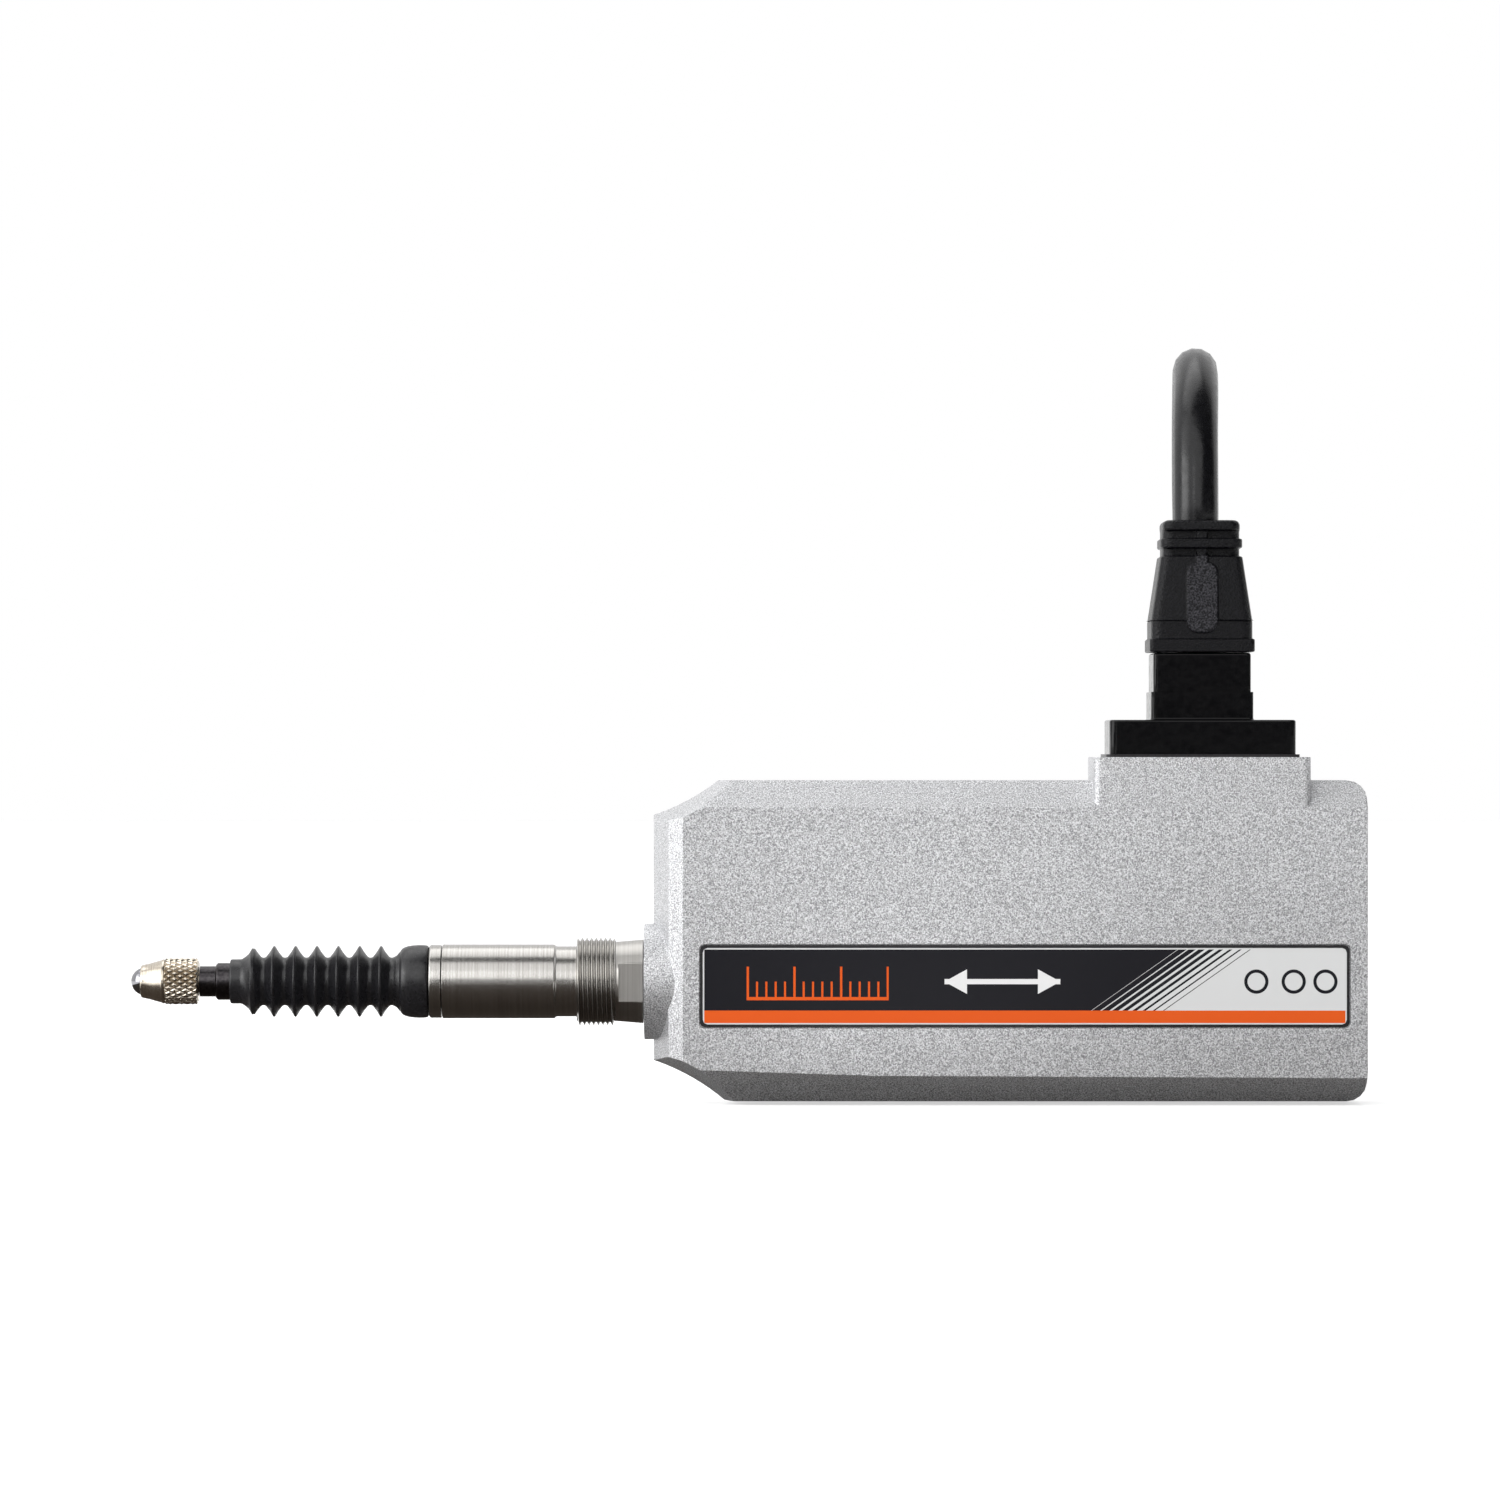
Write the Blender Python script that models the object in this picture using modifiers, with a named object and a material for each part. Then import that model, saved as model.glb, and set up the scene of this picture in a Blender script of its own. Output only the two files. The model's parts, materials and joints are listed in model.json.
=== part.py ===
"""A linear displacement sensor with a right-angle plug and its cable, for Blender 4.5.

A ball-tipped spindle slides in a ground stem and carries a glass scale past a reader head
inside a die-cast housing. Metres, +Z up. +X runs from the ball tip to the rear face, and
X = 0 is halfway along the sensor. It stands on its narrow bottom face at Z = 0, with the
label on the -Y side. The spindle is modelled right out, as it rests.
"""

import math

import bmesh
import bpy
from mathutils import Matrix, Vector

# Overall sizes
HOUSING_LENGTH = 0.0766
HOUSING_HEIGHT = 0.03455
HOUSING_THICKNESS = 0.0140
AXIS_HEIGHT = 0.0128
REACH = 0.0565  # nose of the housing to the ball tip, spindle right out
STROKE = 0.0100

# Clearances
SEAT = 0.0001  # between pieces that are fixed to each other
RUNNING = 0.00015  # between pieces that slide
FREE = 0.0003  # between pieces that only lie close
NIP = 0.00005  # on each side of the squeezed gasket
CUT_PAST = 0.001  # how far a hole's cutter runs past the faces it opens
OVERLAP = 0.0005  # how far joined shapes reach into each other

# Housing
TOP_CHAMFER = 0.0029
BOTTOM_CHAMFER = 0.0035
NOSE_FLAT_HALF = 0.0056  # half thickness where the drafted nose meets its bevel
NOSE_DRAFT = 0.00165
NOSE_BEVEL = 0.00155
REAR_CORNER = 0.0020
REAR_EDGE = 0.0005
SCOOP_RADIUS = 0.0240
SCOOP_DRAFT = math.radians(11.0)
TOP_SCOOP_RUN = 0.0070
TOP_SCOOP_DROP = 0.00375
BOTTOM_SCOOP_RUN = 0.00765
BOTTOM_SCOOP_RISE = 0.0043
BOSS_LENGTH = 0.0010
BOSS_DIAMETER = 0.0125
BOSS_ROOT = 0.0040  # how far the boss runs back into the nose
BLOCK_SETBACK = 0.00605  # rear face to the connector block
BLOCK_LENGTH = 0.0233
BLOCK_ROOT = 0.0100  # how far the block runs down into the housing
BLOCK_RISE = 0.0025
BLOCK_CORNER = 0.0009
BLOCK_STEP = 0.0001  # how far its faces stand behind the housing's
NOSE_WALL = 0.0120
REAR_WALL = 0.0065
FLOOR_WALL = 0.0062
ROOF_WALL = 0.0048
FRONT_WALL = 0.0016

# Label
LABEL_HEIGHT = 0.0082
LABEL_THICKNESS = 0.0002
LABEL_FRONT = 0.00535  # nose to the label's left end
LABEL_REAR = 0.00225  # label's right end to the rear face
LABEL_BOTTOM = 0.0084
LABEL_MARGIN = 0.0004
LABEL_SUNK = 0.00015
LABEL_CORNER = 0.0005

# Back cover
COVER_THICKNESS = 0.0012
COVER_LEDGE = 0.0016  # land above and below the cavity
COVER_LAND = 0.0048  # land at its two ends, where the screws are
COVER_CORNER = 0.0020
COVER_GASKET = 0.0004
COVER_SUNK = 0.00005
SCREW_INSET = 0.0024
SCREW_RISE = 0.0008

# Stem, from the boss forwards
FLATS_LENGTH = 0.0030
FLATS_DIAMETER = 0.00905
FLATS_ACROSS = 0.0080
FLATS_RIM = 0.0004
THREAD_LENGTH = 0.0042
THREAD_DIAMETER = 0.0095
RELIEF_LENGTH = 0.0022
RELIEF_DIAMETER = 0.0076
STEM_LENGTH = 0.0123
STEM_DIAMETER = 0.0080
STEM_BORE = 0.0060
SHANK_DIAMETER = 0.0077
SHANK_EXCESS = 0.0021  # how far the shank stands into the cavity
EDGE_BREAK = 0.0002
SEAL_SECTION = 0.0006
SEAL_SETBACK = 0.0030
NUT_ACROSS = 0.0096
NUT_THICKNESS = 0.0017

# Front bush
BUSH_FLANGE = 0.00138
BUSH_DIAMETER = 0.0079
BUSH_TAIL = 0.0028
BUSH_SPIGOT_LENGTH = 0.0026
BUSH_SPIGOT_DIAMETER = 0.0064

# Bellows
REAR_CUFF_LENGTH = 0.00296
REAR_CUFF_RADIUS = 0.00392
REAR_CUFF_LIP = 0.0035
BELLOWS_PITCH = 0.00231
BELLOWS_FOLDS = 7
PEAK_RADIUS = 0.00385
FRONT_PEAK_RADIUS = 0.0036
VALLEY_RADIUS = 0.00258
LAST_PEAK_SETBACK = 0.00217
FRONT_FLARE = 0.00127
FRONT_CUFF_LENGTH = 0.00115
FRONT_CUFF_RADIUS = 0.0024
BELLOWS_WALL = 0.00037  # measured along the radius

# Spindle and contact point
SPINDLE_DIAMETER = 0.0040
SPINDLE_NECK_DIAMETER = 0.0033
SPINDLE_NECK_LENGTH = 0.00175
SPINDLE_EXCESS = 0.0080  # how far the spindle stands into the cavity
SPRING_BORE = 0.0029
SPRING_BORE_DEPTH = 0.0180
POINT_SHANK = 0.0024
POINT_SHANK_LENGTH = 0.0050
POINT_COLLAR = 0.0001
KNURL_DIAMETER = 0.0050
KNURL_LENGTH = 0.00356
POINT_CONE_LENGTH = 0.0026
POINT_LIP_RADIUS = 0.00175
BALL_DIAMETER = 0.0030
BALL_GRIP = 0.00040  # how far the lip reaches past the ball's centre

# Ball cage
CAGE_LENGTH = 0.0160
CAGE_WALL = 0.0005
CAGE_SETBACK = 0.0012
CAGE_ROWS = 3
CAGE_BALLS = 4

# Moving carrier and glass scale
BUMP_THICKNESS = 0.0012
BUMP_DIAMETER = 0.0072
CARRIER_LENGTH = 0.0060
CARRIER_WIDTH = 0.0060
CARRIER_BELOW = 0.0044
LEDGE_HEIGHT = 0.0044
LEDGE_THICKNESS = 0.0016
LEDGE_WIDTH = 0.0024
SCALE_LENGTH = 0.0290
SCALE_HEIGHT = 0.0035
SCALE_THICKNESS = 0.0012
SCALE_STOP = 0.0008
CARRIER_SCREW_SETBACK = 0.0017
CLAMP_WALL = 0.0010  # what the clamp screw's hole leaves standing
PIN_DIAMETER = 0.0020
PIN_SETBACK = 0.0043
PIN_DEPTH = 0.0016
RAIL_HEIGHT = 0.0018
RAIL_WIDTH = 0.0070
RAIL_WALL = 0.0020
RAIL_FLOOR = 0.0004
CARRIER_CLEARANCE = 0.0003

# Return spring
SPRING_DIAMETER = 0.0025
SPRING_WIRE = 0.0003
SPRING_TURNS = 12
ROD_DIAMETER = 0.0012
ROD_LENGTH = 0.0250
ANCHOR_SETBACK = 0.0316  # nose wall to the anchor
ANCHOR_LENGTH = 0.0040
ANCHOR_WIDTH = 0.0064
ANCHOR_ABOVE = 0.0024

# Reader head
HEAD_SETBACK = 0.0230
HEAD_LENGTH = 0.0080
HEAD_BRIDGE = 0.0018
HEAD_LEG = 0.0011
LAMP_DIAMETER = 0.0018
LAMP_LENGTH = 0.0025
GRATING_THICKNESS = 0.0004
GRATING_LENGTH = 0.0050
GRATING_HEIGHT = 0.0022

# Circuit board
BOARD_SETBACK = 0.0120
BOARD_END = 0.0021  # board's rear edge to the cavity's rear wall
BOARD_THICKNESS = 0.0008
BOARD_TOP = 0.0004
BOARD_RISE = 0.00255  # board's lower edge over the spring anchor
POST_DIAMETER = 0.0022
POST_INSET = 0.0030
POST_DROP = 0.0012
CHIP_SIDE = 0.0050
CHIP_THICKNESS = 0.0012
CHIP_SETBACK = 0.0180  # from the board's rear edge, as the header's
HEADER_LENGTH = 0.0070
HEADER_HEIGHT = 0.0040
HEADER_DEPTH = 0.0026
HEADER_SETBACK = 0.0110
HEADER_DROP = 0.0022

# Socket and plug
PLUG_SETBACK = 0.01175  # block's front edge to the plug's axis
SOCKET_DIAMETER = 0.0092
SOCKET_LENGTH = 0.0060
PIN_CIRCLE = 0.0052
PIN_COUNT = 6
CONTACT_DIAMETER = 0.0007
CONTACT_RISE = 0.0030
LEAD_DIAMETER = 0.0014
LEAD_POINT_SPACING = 0.0010
GASKET_THICKNESS = 0.0002
GASKET_OVERHANG = 0.0004
FLANGE_LENGTH = 0.0200
FLANGE_WIDTH = 0.0120
FLANGE_THICKNESS = 0.0037
FLANGE_CORNER = 0.0008
PLUG_BOX_LENGTH = 0.0110
PLUG_BOX_WIDTH = 0.0098
PLUG_BOX_HEIGHT = 0.0030
PLUG_POCKET = 0.0084
PLUG_POCKET_DEPTH = 0.0042
CAP_LENGTH = 0.0105
CAP_WIDTH = 0.0094
CAP_HEIGHT = 0.0041
BOX_CORNER = 0.0005
PLUG_SCREW_INSET = 0.00235

# Boot and cable
BOOT_LIP_LENGTH = 0.0113
BOOT_LIP_WIDTH = 0.0102
BOOT_LIP_HEIGHT = 0.0014
BOOT_LENGTH = 0.0109
BOOT_WIDTH = 0.0098
BOOT_STRAIGHT = 0.0020
BOOT_TAPER = 0.0069
BOOT_TOP_LENGTH = 0.0088
BOOT_TOP_WIDTH = 0.0086
BOOT_CORNER = 0.0012
BOOT_CORE_LENGTH = 0.0083
BOOT_CORE_WIDTH = 0.0066
COLLAR_HEIGHT = 0.0011
COLLAR_LENGTH = 0.0083
COLLAR_WIDTH = 0.0081
COLLAR_EDGE = 0.0005
SLOT_HEIGHT = 0.0009
RIB_HEIGHT = 0.0010
SLOT_WEB = 0.0012
CABLE_DIAMETER = 0.0049
CABLE_GAP = 0.0003
PAD_WIDTH = 0.0033
PAD_HEIGHT = 0.0076
PAD_RAISE = 0.0003
PAD_DEPTH = 0.0010
PAD_CORNER = 0.0012
PAD_BOTTOM = 0.0006

# Cable coil and far plug
COIL_CENTRE = (0.0315, 0.0500)
COIL_INNER = 0.0200
COIL_OUTER = 0.0350
COIL_HEIGHT = 0.0200
FAR_PLUG_START = 0.0380
FAR_PLUG_Y = 0.0940
GRIP_LENGTH = 0.0220
GRIP_DIAMETER = 0.0130
GRIP_NECK = 0.0066
SHELL_LENGTH = 0.0200
SHELL_DIAMETER = 0.0140
SHELL_WALL = 0.0010
INSERT_LENGTH = 0.0180

# The cable's route from the middle of the boot's collar: up, over and down behind the housing
# onto its coil. The first point is inside the boot.
CABLE_ROUTE = (
    (-0.0002, 0.0000, -0.0125),
    (-0.0002, 0.0000, -0.0040),
    (-0.0002, 0.0000, 0.0015),
    (-0.0002, 0.0021, 0.0094),
    (0.0000, 0.0078, 0.0151),
    (0.0003, 0.0156, 0.0171),
    (0.0007, 0.0233, 0.0151),
    (0.0011, 0.0290, 0.0094),
    (0.0014, 0.0311, 0.0015),
    (0.0019, 0.0318, -0.0085),
    (0.0030, 0.0332, -0.0185),
    (0.0054, 0.0361, -0.0277),
    (0.0090, 0.0405, -0.0345),
    (0.0126, 0.0462, -0.0386),
    (0.0146, 0.0520, -0.0397),
    (0.0143, 0.0568, -0.0397),
)
# The last stretch, from the foot of the coil to the far plug, from the plug's near end
TAIL_ROUTE = (
    (0.0259, -0.0245, -0.0042),
    (0.0253, -0.0180, -0.0042),
    (0.0217, -0.0090, -0.0034),
    (0.0140, -0.0022, -0.0015),
    (0.0048, 0.0000, 0.0000),
    (0.0003, 0.0000, 0.0000),
)
ROUTE_POINT_SPACING = 0.0100

# Fasteners: head radius, head height, shank radius, shank length
COVER_SCREW = (0.0018, 0.0009, 0.0010, 0.0060)
CARRIER_SCREW = (0.0014, 0.0009, 0.0008, 0.0040)
BOARD_SCREW = (0.0010, 0.0007, 0.0005, 0.0030)
PLUG_SCREW = (0.0018, 0.0016, 0.0010, 0.0060)
RECESS_SHARE = 0.45  # the hexagon recess as a share of the head radius

# Fineness of turned shapes
FINE = 36
COARSE = 16
BELLOWS_STEPS = 28
SCOOP_STEPS = 144

# Stations worked out from the sizes above, nose and overall
TIP_X = -(REACH + HOUSING_LENGTH) / 2
NOSE_X = TIP_X + REACH
REAR_X = NOSE_X + HOUSING_LENGTH
HALF_THICK = HOUSING_THICKNESS / 2
LABEL_X = NOSE_X + LABEL_FRONT
LABEL_REAR_X = REAR_X - LABEL_REAR

# Stations of the stem, from the boss forwards
BOSS_X = NOSE_X - BOSS_LENGTH
FLATS_X = BOSS_X - SEAT - FLATS_LENGTH
THREAD_X = FLATS_X - THREAD_LENGTH
RELIEF_X = THREAD_X - RELIEF_LENGTH
STEM_X = RELIEF_X - STEM_LENGTH
BUSH_REAR_X = STEM_X - SEAT
BUSH_X = BUSH_REAR_X - BUSH_FLANGE

# Stations of the bellows
CUFF_REAR_X = BUSH_X - RUNNING
CUFF_LIP_X = CUFF_REAR_X - REAR_CUFF_LENGTH
LAST_PEAK_X = CUFF_LIP_X - LAST_PEAK_SETBACK
FIRST_PEAK_X = LAST_PEAK_X - (BELLOWS_FOLDS - 1) * BELLOWS_PITCH
FRONT_CUFF_REAR_X = FIRST_PEAK_X - FRONT_FLARE
FRONT_CUFF_X = FRONT_CUFF_REAR_X - FRONT_CUFF_LENGTH

# Stations of the contact point, worked back from the tip
BALL_X = TIP_X + BALL_DIAMETER / 2
LIP_X = BALL_X - BALL_GRIP
KNURL_FRONT_X = LIP_X + POINT_CONE_LENGTH
KNURL_REAR_X = KNURL_FRONT_X + KNURL_LENGTH
POINT_REAR_X = KNURL_REAR_X + POINT_COLLAR
SPINDLE_X = POINT_REAR_X + SEAT
NECK_REAR_X = SPINDLE_X + SPINDLE_NECK_LENGTH

# Cavity of the housing
CAVITY_X = NOSE_X + NOSE_WALL
CAVITY_REAR_X = REAR_X - REAR_WALL
CAVITY_Z = FLOOR_WALL
CAVITY_TOP_Z = HOUSING_HEIGHT - ROOF_WALL
CAVITY_Y = -HALF_THICK + FRONT_WALL
COVER_Y = HALF_THICK - COVER_SUNK - COVER_THICKNESS
LEDGE_Y = COVER_Y - COVER_GASKET - 2 * SEAT

# Stem's rear end and what lies behind it
SHANK_X = CAVITY_X + SHANK_EXCESS
BUMP_X = SHANK_X + SEAT
CARRIER_X = BUMP_X + BUMP_THICKNESS + SEAT
CARRIER_REAR_X = CARRIER_X + CARRIER_LENGTH
SPINDLE_REAR_X = CAVITY_X + SPINDLE_EXCESS
CARRIER_Z = AXIS_HEIGHT - CARRIER_BELOW
LEDGE_Z = AXIS_HEIGHT + LEDGE_HEIGHT
SCALE_X = CARRIER_X + SCALE_STOP + SEAT
SCALE_REAR_X = SCALE_X + SCALE_LENGTH
SCALE_Z = LEDGE_Z + SEAT
SCALE_TOP_Z = SCALE_Z + SCALE_HEIGHT
PIN_X = CARRIER_X + PIN_SETBACK
ANCHOR_X = CAVITY_X + ANCHOR_SETBACK
ANCHOR_TOP_Z = AXIS_HEIGHT + ANCHOR_ABOVE
HEAD_X = CAVITY_X + HEAD_SETBACK

# Circuit board
BOARD_X = CAVITY_X + BOARD_SETBACK
BOARD_REAR_X = CAVITY_REAR_X - BOARD_END
BOARD_TOP_Z = CAVITY_TOP_Z - BOARD_TOP
BOARD_Z = ANCHOR_TOP_Z + BOARD_RISE
LEG_GAP = LEDGE_WIDTH / 2 + RUNNING
HEAD_REAR_Y = LEG_GAP + HEAD_LEG
BOARD_Y = HEAD_REAR_Y + FREE
BOARD_REAR_Y = BOARD_Y + BOARD_THICKNESS

# Connector block and plug
BLOCK_REAR_X = REAR_X - BLOCK_SETBACK
BLOCK_X = BLOCK_REAR_X - BLOCK_LENGTH
BLOCK_TOP_Z = HOUSING_HEIGHT + BLOCK_RISE
PLUG_X = BLOCK_X + PLUG_SETBACK
GASKET_Z = BLOCK_TOP_Z + NIP
FLANGE_Z = GASKET_Z + GASKET_THICKNESS + NIP
FLANGE_TOP_Z = FLANGE_Z + FLANGE_THICKNESS
PLUG_BOX_TOP_Z = FLANGE_TOP_Z + PLUG_BOX_HEIGHT
CAP_Z = PLUG_BOX_TOP_Z + SEAT
CAP_TOP_Z = CAP_Z + CAP_HEIGHT
BOOT_Z = CAP_TOP_Z + SEAT
BOOT_BODY_Z = BOOT_Z + BOOT_LIP_HEIGHT
BOOT_TAPER_Z = BOOT_BODY_Z + BOOT_STRAIGHT
BOOT_TOP_Z = BOOT_TAPER_Z + BOOT_TAPER
RIB_Z = BOOT_TOP_Z + SLOT_HEIGHT
RIB_TOP_Z = RIB_Z + RIB_HEIGHT
COLLAR_Z = RIB_TOP_Z + SLOT_HEIGHT
EXIT_Z = COLLAR_Z + COLLAR_HEIGHT
FAR_PLUG_Z = SHELL_DIAMETER / 2

X, Y, Z = range(3)
TURNS = {
    X: (0.0, math.pi / 2, 0.0),
    Y: (-math.pi / 2, 0.0, 0.0),
    Z: (0.0, 0.0, 0.0),
}


def clear_scene():
    for obj in list(bpy.data.objects):
        bpy.data.objects.remove(obj, do_unlink=True)


def new_collection(name):
    collection = bpy.data.collections.new(name)
    bpy.context.scene.collection.children.link(collection)
    return collection


def look(name, colour, roughness, metallic=0.0):
    material = bpy.data.materials.new(name)
    material.use_nodes = True
    shader = material.node_tree.nodes["Principled BSDF"]
    shader.inputs["Base Color"].default_value = (*colour, 1.0)
    shader.inputs["Roughness"].default_value = roughness
    shader.inputs["Metallic"].default_value = metallic
    material.diffuse_color = (*colour, 1.0)
    return material


clear_scene()
PARTS = new_collection("linear_displacement_sensor")
CUTTERS = new_collection("cutters")

CAST = look("cast_metal", (0.52, 0.52, 0.54), 0.42, 0.85)
STEEL = look("ground_steel", (0.55, 0.54, 0.53), 0.22, 1.0)
DARK_STEEL = look("hardened_steel", (0.20, 0.20, 0.21), 0.25, 1.0)
NICKEL = look("nickelled_brass", (0.55, 0.50, 0.44), 0.30, 1.0)
CARBIDE = look("carbide", (0.12, 0.12, 0.13), 0.08, 1.0)
RUBBER = look("black_rubber", (0.02, 0.02, 0.022), 0.55)
PLASTIC = look("gloss_black_plastic", (0.012, 0.012, 0.014), 0.22)
BOOT_RUBBER = look("matt_black_rubber", (0.035, 0.035, 0.04), 0.75)
JACKET = look("cable_jacket", (0.02, 0.02, 0.024), 0.40)
LABEL = look("label_film", (0.03, 0.03, 0.045), 0.35)
GLASS = look("scale_glass", (0.70, 0.78, 0.78), 0.05)
BOARD = look("board_laminate", (0.04, 0.20, 0.08), 0.45)
BRASS = look("brass", (0.62, 0.48, 0.22), 0.30, 1.0)
ALUMINIUM = look("aluminium", (0.62, 0.62, 0.64), 0.35, 1.0)


def placed(obj, material):
    """Puts a finished object with the parts, or with the cutters if it has no material."""
    if material is None:
        CUTTERS.objects.link(obj)
        obj.hide_render = True
        obj.display_type = "WIRE"
    else:
        PARTS.objects.link(obj)
        obj.data.materials.append(material)
    return obj


def from_bmesh(name, shape, material, location=(0.0, 0.0, 0.0)):
    mesh = bpy.data.meshes.new(name)
    shape.to_mesh(mesh)
    shape.free()
    obj = bpy.data.objects.new(name, mesh)
    obj.location = location
    return placed(obj, material)


def cube_between(low, high):
    """A closed box, and its middle, around which it is made."""
    size = [b - a for a, b in zip(low, high)]
    middle = [(a + b) / 2 for a, b in zip(low, high)]
    shape = bmesh.new()
    bmesh.ops.create_cube(shape, size=1.0, matrix=Matrix.Diagonal((*size, 1.0)))
    return shape, middle


def edges_along(shape, axis):
    """The edges that run along one axis."""
    found = []
    for edge in shape.edges:
        run = edge.verts[1].co - edge.verts[0].co
        if abs(run[axis]) > 0.99 * run.length:
            found.append(edge)
    return found


def round_edges(shape, edges, radius, segments=3):
    bmesh.ops.bevel(
        shape,
        geom=edges,
        offset=radius,
        segments=segments,
        profile=0.5,
        affect="EDGES",
        clamp_overlap=True,
    )


def block(name, low, high, material, corner=0.0, along=Z, segments=3):
    """A box between two corners. Its edges along one axis can be rounded."""
    shape, middle = cube_between(low, high)
    if corner:
        round_edges(shape, edges_along(shape, along), corner, segments)
    return from_bmesh(name, shape, material, middle)


def turned(name, outline, material, along=X, at=(0.0, 0.0, AXIS_HEIGHT), steps=FINE):
    """A Screw around an axis through a point. The outline is a row of (station, radius) that
    runs down the outer side from the highest station. It is closed unless it ends on the axis."""
    shape = bmesh.new()
    corners = [
        shape.verts.new((radius, 0.0, station - at[along])) for station, radius in outline
    ]
    for first, second in zip(corners, corners[1:]):
        shape.edges.new((first, second))
    if outline[0][1] > 0.0:
        shape.edges.new((corners[-1], corners[0]))
    obj = from_bmesh(name, shape, material, at)
    obj.rotation_euler = TURNS[along]
    screw = obj.modifiers.new("turn", "SCREW")
    screw.steps = steps
    screw.render_steps = steps
    screw.use_merge_vertices = True
    screw.merge_threshold = 0.000001
    screw.use_smooth_shade = False
    return obj


def disc(name, low, high, radius, material, along=X, at=(0.0, 0.0, AXIS_HEIGHT), steps=FINE):
    outline = ((high, 0.0), (high, radius), (low, radius), (low, 0.0))
    return turned(name, outline, material, along, at, steps)


def ring(name, low, high, inner, outer, material, along=X, at=(0.0, 0.0, AXIS_HEIGHT), steps=FINE):
    outline = ((high, inner), (high, outer), (low, outer), (low, inner))
    return turned(name, outline, material, along, at, steps)


def boolean(obj, tool, operation):
    modifier = obj.modifiers.new(tool.name, "BOOLEAN")
    modifier.operation = operation
    modifier.solver = "EXACT"
    modifier.object = tool


def cut(obj, *tools):
    for tool in tools:
        boolean(obj, tool, "DIFFERENCE")


def join(obj, *tools):
    for tool in tools:
        boolean(obj, tool, "UNION")


def arc(centre, radius, start, end, count):
    """Points (station, radius) on a circle, angles measured from the +station side."""
    points = []
    for index in range(count + 1):
        angle = start + (end - start) * index / count
        points.append((centre[0] + radius * math.cos(angle), centre[1] + radius * math.sin(angle)))
    return points


def slice_off(shape, point, normal):
    """Cuts away what lies beyond a plane and closes the cut with one face."""
    everything = shape.verts[:] + shape.edges[:] + shape.faces[:]
    made = bmesh.ops.bisect_plane(
        shape, geom=everything, plane_co=point, plane_no=normal, clear_outer=True
    )
    rim = [item for item in made["geom_cut"] if isinstance(item, bmesh.types.BMEdge)]
    bmesh.ops.edgenet_fill(shape, edges=rim)


def cap_screw(name, seat, along, sizes, material, countersunk=False):
    """A screw whose head starts at its seat and points up along one axis, with a hexagon recess."""
    head_radius, head_height, shank_radius, shank_length = sizes
    top = seat[along] + head_height
    tip = seat[along] - shank_length
    under_head = shank_radius if countersunk else head_radius
    outline = (
        (top, 0.0),
        (top, head_radius),
        (seat[along], under_head),
        (seat[along], shank_radius),
        (tip, shank_radius),
        (tip, 0.0),
    )
    if countersunk:
        outline = outline[:3] + outline[4:]
    screw = turned(name, outline, material, along, seat, COARSE)
    recess = disc(
        name + "_recess",
        seat[along] + head_height * 0.35,
        top + head_height,
        head_radius * RECESS_SHARE,
        None,
        along,
        seat,
        6,
    )
    cut(screw, recess)
    return screw


def smooth_path(points, spacing):
    """Evenly spaced points on a smooth curve through the route's own points."""
    knots = [Vector(point) for point in points]
    knots = [2 * knots[0] - knots[1], *knots, 2 * knots[-1] - knots[-2]]
    dense = []
    for before, start, end, after in zip(knots, knots[1:], knots[2:], knots[3:]):
        for index in range(24):
            t = index / 24
            dense.append(
                0.5
                * (
                    2 * start
                    + (end - before) * t
                    + (2 * before - 5 * start + 4 * end - after) * t**2
                    + (3 * start - before - 3 * end + after) * t**3
                )
            )
    dense.append(knots[-2])
    lengths = [0.0]
    for first, second in zip(dense, dense[1:]):
        lengths.append(lengths[-1] + (second - first).length)
    count = max(2, round(lengths[-1] / spacing))
    path = []
    segment = 0
    for index in range(count + 1):
        wanted = lengths[-1] * index / count
        while segment < len(dense) - 2 and lengths[segment + 1] < wanted:
            segment += 1
        span = lengths[segment + 1] - lengths[segment]
        path.append(dense[segment].lerp(dense[segment + 1], (wanted - lengths[segment]) / span))
    return path


def tube(name, path, diameter, material, resolution=2, at=(0.0, 0.0, 0.0)):
    """A round wire along a row of points, its ends capped."""
    curve = bpy.data.curves.new(name, "CURVE")
    curve.dimensions = "3D"
    curve.bevel_depth = diameter / 2
    curve.bevel_resolution = resolution
    curve.use_fill_caps = True
    spline = curve.splines.new("POLY")
    spline.points.add(len(path) - 1)
    for point, place in zip(spline.points, path):
        point.co = (*(Vector(place) - Vector(at)), 1.0)
    obj = bpy.data.objects.new(name, curve)
    obj.location = at
    return placed(obj, material)


def scoop_cutter(name, nose_z, edge_x, edge_z, side):
    """A double cone across the nose. Its waist is an arc from the nose to the edge."""
    start = Vector((NOSE_X, nose_z))
    end = Vector((edge_x, edge_z))
    chord = end - start
    normal = Vector((-chord.y, chord.x)).normalized() * side
    middle = (start + end) / 2
    centre = middle + normal * math.sqrt(SCOOP_RADIUS**2 - (chord.length / 2) ** 2)
    reach = HALF_THICK + CUT_PAST
    wide = SCOOP_RADIUS + reach * math.tan(SCOOP_DRAFT)
    outline = ((reach, 0.0), (reach, wide), (0.0, SCOOP_RADIUS), (-reach, wide), (-reach, 0.0))
    return turned(name, outline, None, Y, (centre.x, 0.0, centre.y), SCOOP_STEPS)


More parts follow.
